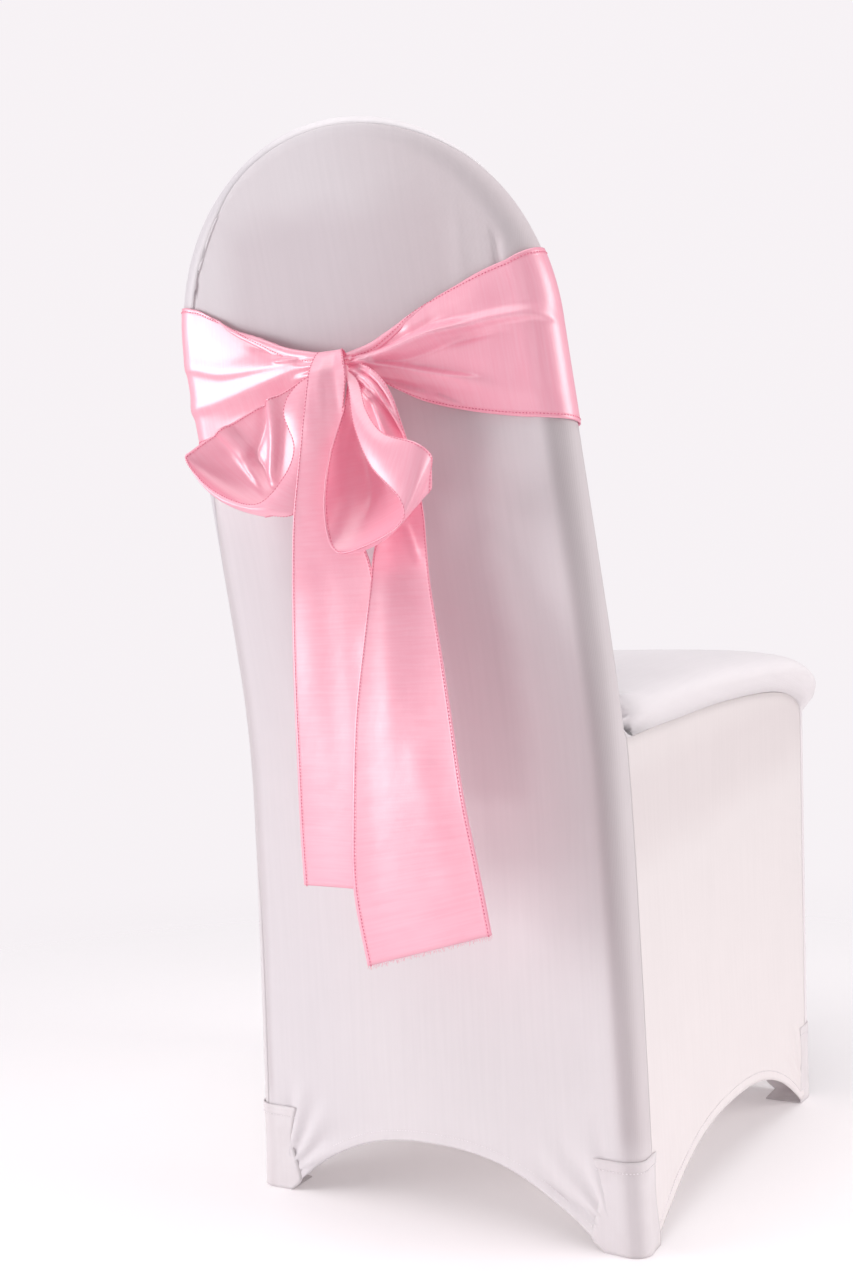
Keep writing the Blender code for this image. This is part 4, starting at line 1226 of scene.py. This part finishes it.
strips = {
    "band": band_rows(),
    "front_end": hanging_end(FRONT_END_SECTIONS, FRONT_END_FOLDS, 0.0),
    "rear_end": hanging_end(REAR_END_SECTIONS, REAR_END_FOLDS, END_SLANT),
    "left_loop": loop_rows(LEFT_LOOP_SECTIONS, LEFT_LOOP_FOLDS),
    "right_loop": loop_rows(RIGHT_LOOP_SECTIONS, RIGHT_LOOP_FOLDS),
}
mesh = bmesh.new()
layer = mesh.loops.layers.uv.new("cloth")
for rows in strips.values():
    add_strip_rows(mesh, layer, rows)
sash = finish_mesh("sash_satin", mesh)
add_wall(sash, SATIN_THICKNESS, 0.0)
satin = pink_satin()
sash.data.materials.append(satin)
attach(sash, "root")
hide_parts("sash")

mesh = bmesh.new()
layer = mesh.loops.layers.uv.new("cloth")
for vert in add_knot(mesh):
    for loop in vert.link_loops:
        loop[layer].uv = (0.05 + vert.co.x, vert.co.z)
knot = finish_mesh("sash_knot", mesh)
knot.data.materials.append(satin)
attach(knot, "root")

# ---- The stitches and the frayed end ----
# A lockstitch in thread of the sash's own pink holds each of its turned hems, and the same stitch
# in white the cover's hems. The rear end was cut without a hem, so its last threads work loose.
STITCH_PITCH = 0.0029
STITCH_LENGTH = 0.0019
STITCH_WIDTH = 0.0010
STITCH_PROUD = STITCH_WIDTH * 0.12
THREAD_GAP = 0.0002          # how far the cover's stitches stand off its cloth
POCKET_THREAD_GAP = 0.0003
FRAY_PITCH = 0.0008


def repeat_tree(name, sizes, put_copies):
    """A tree that puts copies of a shape one pitch apart along lines."""
    tree = bpy.data.node_groups.new(name, "GeometryNodeTree")
    kinds = {"Geometry": "Geometry", **dict.fromkeys(sizes, "Float"), "Material": "Material"}
    for key, kind in kinds.items():
        tree.interface.new_socket(key, in_out="INPUT", socket_type="NodeSocket" + kind)
    tree.interface.new_socket("Geometry", in_out="OUTPUT", socket_type="NodeSocketGeometry")
    ins, outs = tree.nodes.new("NodeGroupInput"), tree.nodes.new("NodeGroupOutput")
    wires = {socket.name: Wire(tree, socket) for socket in ins.outputs if socket.name}
    start = wires["Geometry"]
    line = start.out("GeometryNodeMeshToCurve", in0=start)
    spots = start.out("GeometryNodeResampleCurve", {"mode": "LENGTH"}, Curve=line,
                      Length=wires["Pitch"])
    copies = put_copies(spots, wires)
    whole = start.out("GeometryNodeRealizeInstances", Geometry=copies)
    done = start.out("GeometryNodeSetMaterial", Geometry=whole, Material=wires["Material"])
    tree.links.new(done.socket, outs.inputs[0])
    return tree


def put_stitches(spots, wires):
    bead = spots.out("GeometryNodeMeshUVSphere", Segments=6, Rings=4, Radius=0.5)
    tangent = spots.out("GeometryNodeInputTangent")
    turn = spots.out("FunctionNodeAlignRotationToVector", {"axis": "Z"}, Vector=tangent)
    size = spots.out("ShaderNodeCombineXYZ", X=wires["Width"], Y=wires["Width"],
                     Z=wires["Length"])
    return spots.out("GeometryNodeInstanceOnPoints", Points=spots, Instance=bead,
                     Rotation=turn, Scale=size)


def put_frays(spots, wires):
    thread = spots.out("GeometryNodeMeshUVSphere", Segments=5, Rings=4, Radius=0.5)
    hung = spots.out("GeometryNodeTransform", Geometry=thread, Translation=(0.0, 0.0, -0.42))
    length = spots.out("FunctionNodeRandomValue", {"data_type": "FLOAT"}, output=1,
                       in2=wires["Shortest"], in3=wires["Longest"], Seed=3)
    turn = spots.out("FunctionNodeRandomValue", {"data_type": "FLOAT_VECTOR"},
                     in0=(-0.5, -0.5, 0.0), in1=(0.5, 0.5, 0.0), Seed=8)
    size = spots.out("ShaderNodeCombineXYZ", X=wires["Thread"], Y=wires["Thread"], Z=length)
    return spots.out("GeometryNodeInstanceOnPoints", Points=spots, Instance=hung,
                     Rotation=turn, Scale=size)


def along_lines(name, lines, tree, values):
    """Run a tree over lines of points, and keep the result as one plain mesh."""
    path = bpy.data.meshes.new(name + "_lines")
    points, edges = [], []
    for line in lines:
        edges += [(len(points) + k, len(points) + k + 1) for k in range(len(line) - 1)]
        points += [point + TO_FRAME for point in line]
    path.from_pydata(points, edges, [])
    source = add_object(name + "_lines", path)
    repeat = source.modifiers.new("repeat", "NODES")
    repeat.node_group = tree
    for item in tree.interface.items_tree:
        if item.in_out == "INPUT" and item.name in values:
            repeat[item.identifier] = values[item.name]
    shown = source.evaluated_get(bpy.context.evaluated_depsgraph_get())
    data = bpy.data.meshes.new_from_object(shown)
    data.name = name
    data.shade_smooth()
    bpy.data.objects.remove(source)
    made = add_object(name, data)
    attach(made, "root")
    return made


def thread_material(name, dark, light):
    material, shader, place, _ = new_cloth_material(name, {"Roughness": 0.5})
    twist = place.noise(900.0, 1.0)
    bump = place.out("ShaderNodeBump", Strength=0.3, Distance=0.0001, Height=twist)
    feed(shader, Base_Color=twist.step(0.3, 0.7).blend(dark, light), Normal=bump)
    return material


def hem_lines(rows):
    """Lines along a strip's two hems, on both its faces, one stitch inset from the edge."""
    columns = len(rows[0]) - 1
    inset = STITCH_INSET / SASH_WIDTH * columns
    lines = []
    for reach in (inset, columns - inset):
        k = int(reach)
        spots = [(row[k].lerp(row[k + 1], reach - k), row[k + 1] - row[k]) for row in rows]
        for face in (-1.0, 1.0):
            line = []
            for k, (spot, across) in enumerate(spots):
                ahead = spots[min(k + 1, len(spots) - 1)][0] - spots[max(k - 1, 0)][0]
                away = across.cross(ahead).normalized()
                line.append(spot + away * face * (SATIN_THICKNESS * 0.5 + STITCH_PROUD))
            lines.append(line)
    return lines


stitch_sizes = {"Pitch": STITCH_PITCH, "Length": STITCH_LENGTH, "Width": STITCH_WIDTH}
fray_sizes = {"Pitch": FRAY_PITCH, "Shortest": 0.0012, "Longest": 0.0050, "Thread": 0.00022}
stitches = repeat_tree("stitches", stitch_sizes, put_stitches)
frays = repeat_tree("frays", fray_sizes, put_frays)
pink_thread = thread_material("pink_thread", (0.72, 0.16, 0.27), (0.90, 0.32, 0.42))
lines = []
for rows in strips.values():
    lines += hem_lines(rows)
sash_stitches = along_lines("sash_stitches", lines, stitches,
                            {**stitch_sizes, "Material": pink_thread})
sash_frays = along_lines("sash_frays", [strips["rear_end"][-1]], frays,
                         {**fray_sizes, "Material": pink_thread})

white_thread = thread_material("white_thread", (0.74, 0.69, 0.72), (0.86, 0.82, 0.84))
back_line, front_line = [], []
for across in ACROSS:
    x = (REAR_FOOT_HALF - LEG_RIM_RADIUS) * across
    z = rear_hem(across) + HEM_WIDTH
    back_line.append(Vector((x, back_y(z) + rim_radius(z) + THREAD_GAP, z)))
    z = front_hem(across) + HEM_WIDTH
    front_line.append(front_skirt_point(across, z) - Vector((0.0, THREAD_GAP, 0.0)))
lines = [back_line, front_line]
for side, rows in ((1, left_rows), (-1, right_rows)):
    line = []
    for column in zip(*rows):
        hem = column[-1].z + HEM_WIDTH
        k = max(i for i, point in enumerate(column) if point.z >= hem)
        part = (column[k].z - hem) / (column[k].z - column[k + 1].z)
        line.append(column[k].lerp(column[k + 1], part) + Vector((side * THREAD_GAP, 0.0, 0.0)))
    lines.append(line[SEAM_STEPS:])
for rows in pocket_rows:
    k = round(POCKET_BAND_HEIGHT / POCKET_HEIGHT * POCKET_ROWS)
    lines.append([point + Vector((point.x, point.y, 0.0)).normalized() * POCKET_THREAD_GAP
                  for point in rows[k]])
cover_stitches = along_lines("cover_stitches", lines, stitches,
                             {**stitch_sizes, "Material": white_thread})

# ---- The floor ----
# A plain pale studio floor, one large disc just under the feet. It fades into the background
# some way out.
FLOOR_RADIUS = 7.0
FLOOR_GAP = 0.0006           # under the pockets, so that they don't share its plane
bpy.ops.mesh.primitive_circle_add(vertices=96, radius=FLOOR_RADIUS, fill_type="NGON",
                                  location=(0.0, 0.0, TO_FRAME.z - FLOOR_GAP))
floor = bpy.context.object
floor.name = "studio_floor"
material, shader, place, _ = new_cloth_material("pale_floor", {
    "Base Color": (0.93, 0.905, 0.915, 1.0), "Roughness": 0.7, "Specular IOR Level": 0.2,
    "Emission Color": (1.0, 0.98, 0.985, 1.0), "Emission Strength": 0.10})
distance = place.out("ShaderNodeVectorMath", {"operation": "LENGTH"}, output=1, in0=place)
feed(shader, Alpha=1.0 - distance.step(0.55, 1.9))
floor.data.materials.append(material)

# ---- The light ----
# Soft boxes at the left, the right and above, a weak strip at the rear, a faint light inside the
# skirt, and a pale surround.
world = bpy.data.worlds.new("studio")
bpy.context.scene.world = world
world.use_nodes = True
tree = world.node_tree
seen = Wire(tree, tree.nodes.new("ShaderNodeLightPath").outputs["Is Camera Ray"])
feed(tree.nodes["Background"], Color=seen.blend((0.38, 0.368, 0.38), (0.93, 0.89, 0.915)))


def soft_box(name, place, target, size, power, colour):
    light = bpy.data.lights.new(name, "AREA")
    light.shape = "RECTANGLE"
    light.size, light.size_y = size
    light.energy = power
    light.color = colour
    obj = add_object(name, light)
    obj.location = Vector(place) + TO_FRAME
    aim = Vector(target) - Vector(place)
    obj.rotation_mode = "QUATERNION"
    obj.rotation_quaternion = aim.to_track_quat("-Z", "Y")


soft_box("left_box", (2.1, 1.97, 0.64), (0.0, 0.35, 0.7), (1.5, 1.2), 44.0, (1.0, 0.98, 0.99))
soft_box("rear_strip", (-0.96, 3.2, 0.6), (0.0, 0.3, 0.7), (0.4, 1.5), 4.0, (1.0, 0.96, 0.96))
soft_box("right_box", (-2.6, -0.5, 0.95), (0.0, 0.1, 0.6), (1.1, 1.8), 39.0, (1.0, 0.96, 0.95))
soft_box("top_box", (0.1, 0.9, 3.2), (0.0, 0.2, 0.0), (3.2, 3.2), 64.0, (1.0, 0.99, 1.0))
soft_box("inner_glow", (0.0, 0.02, 0.40), (0.0, 0.02, 0.0), (0.30, 0.30), 0.35, (1.0, 0.92, 0.91))
bpy.context.scene.view_settings.view_transform = "Standard"

# ---- The camera ----
# It stands behind the chair's back and to its right, a little higher than the seat, and looks
# almost level.
CAMERA_PLACE = (-0.643, 1.326, 0.538)
CAMERA_YAW, CAMERA_PITCH, CAMERA_ROLL = 30.05, 0.8, -2.3
CAMERA_LENS, CAMERA_SENSOR = 39.9, 36.0
yaw, pitch, roll = (math.radians(angle) for angle in (CAMERA_YAW, CAMERA_PITCH, CAMERA_ROLL))
ahead = Vector((math.sin(yaw) * math.cos(pitch), -math.cos(yaw) * math.cos(pitch),
                -math.sin(pitch)))
level = ahead.cross(Vector((0.0, 0.0, 1.0))).normalized()
upright = level.cross(ahead)
right = math.cos(roll) * level + math.sin(roll) * upright
up = math.cos(roll) * upright - math.sin(roll) * level
camera_data = bpy.data.cameras.new("camera")
camera_data.lens = CAMERA_LENS
camera_data.sensor_width = CAMERA_SENSOR
camera = add_object("camera", camera_data)
camera.location = Vector(CAMERA_PLACE) + TO_FRAME
camera.rotation_mode = "QUATERNION"
camera.rotation_quaternion = Matrix((right, up, -ahead)).transposed().to_quaternion()
bpy.context.scene.camera = camera
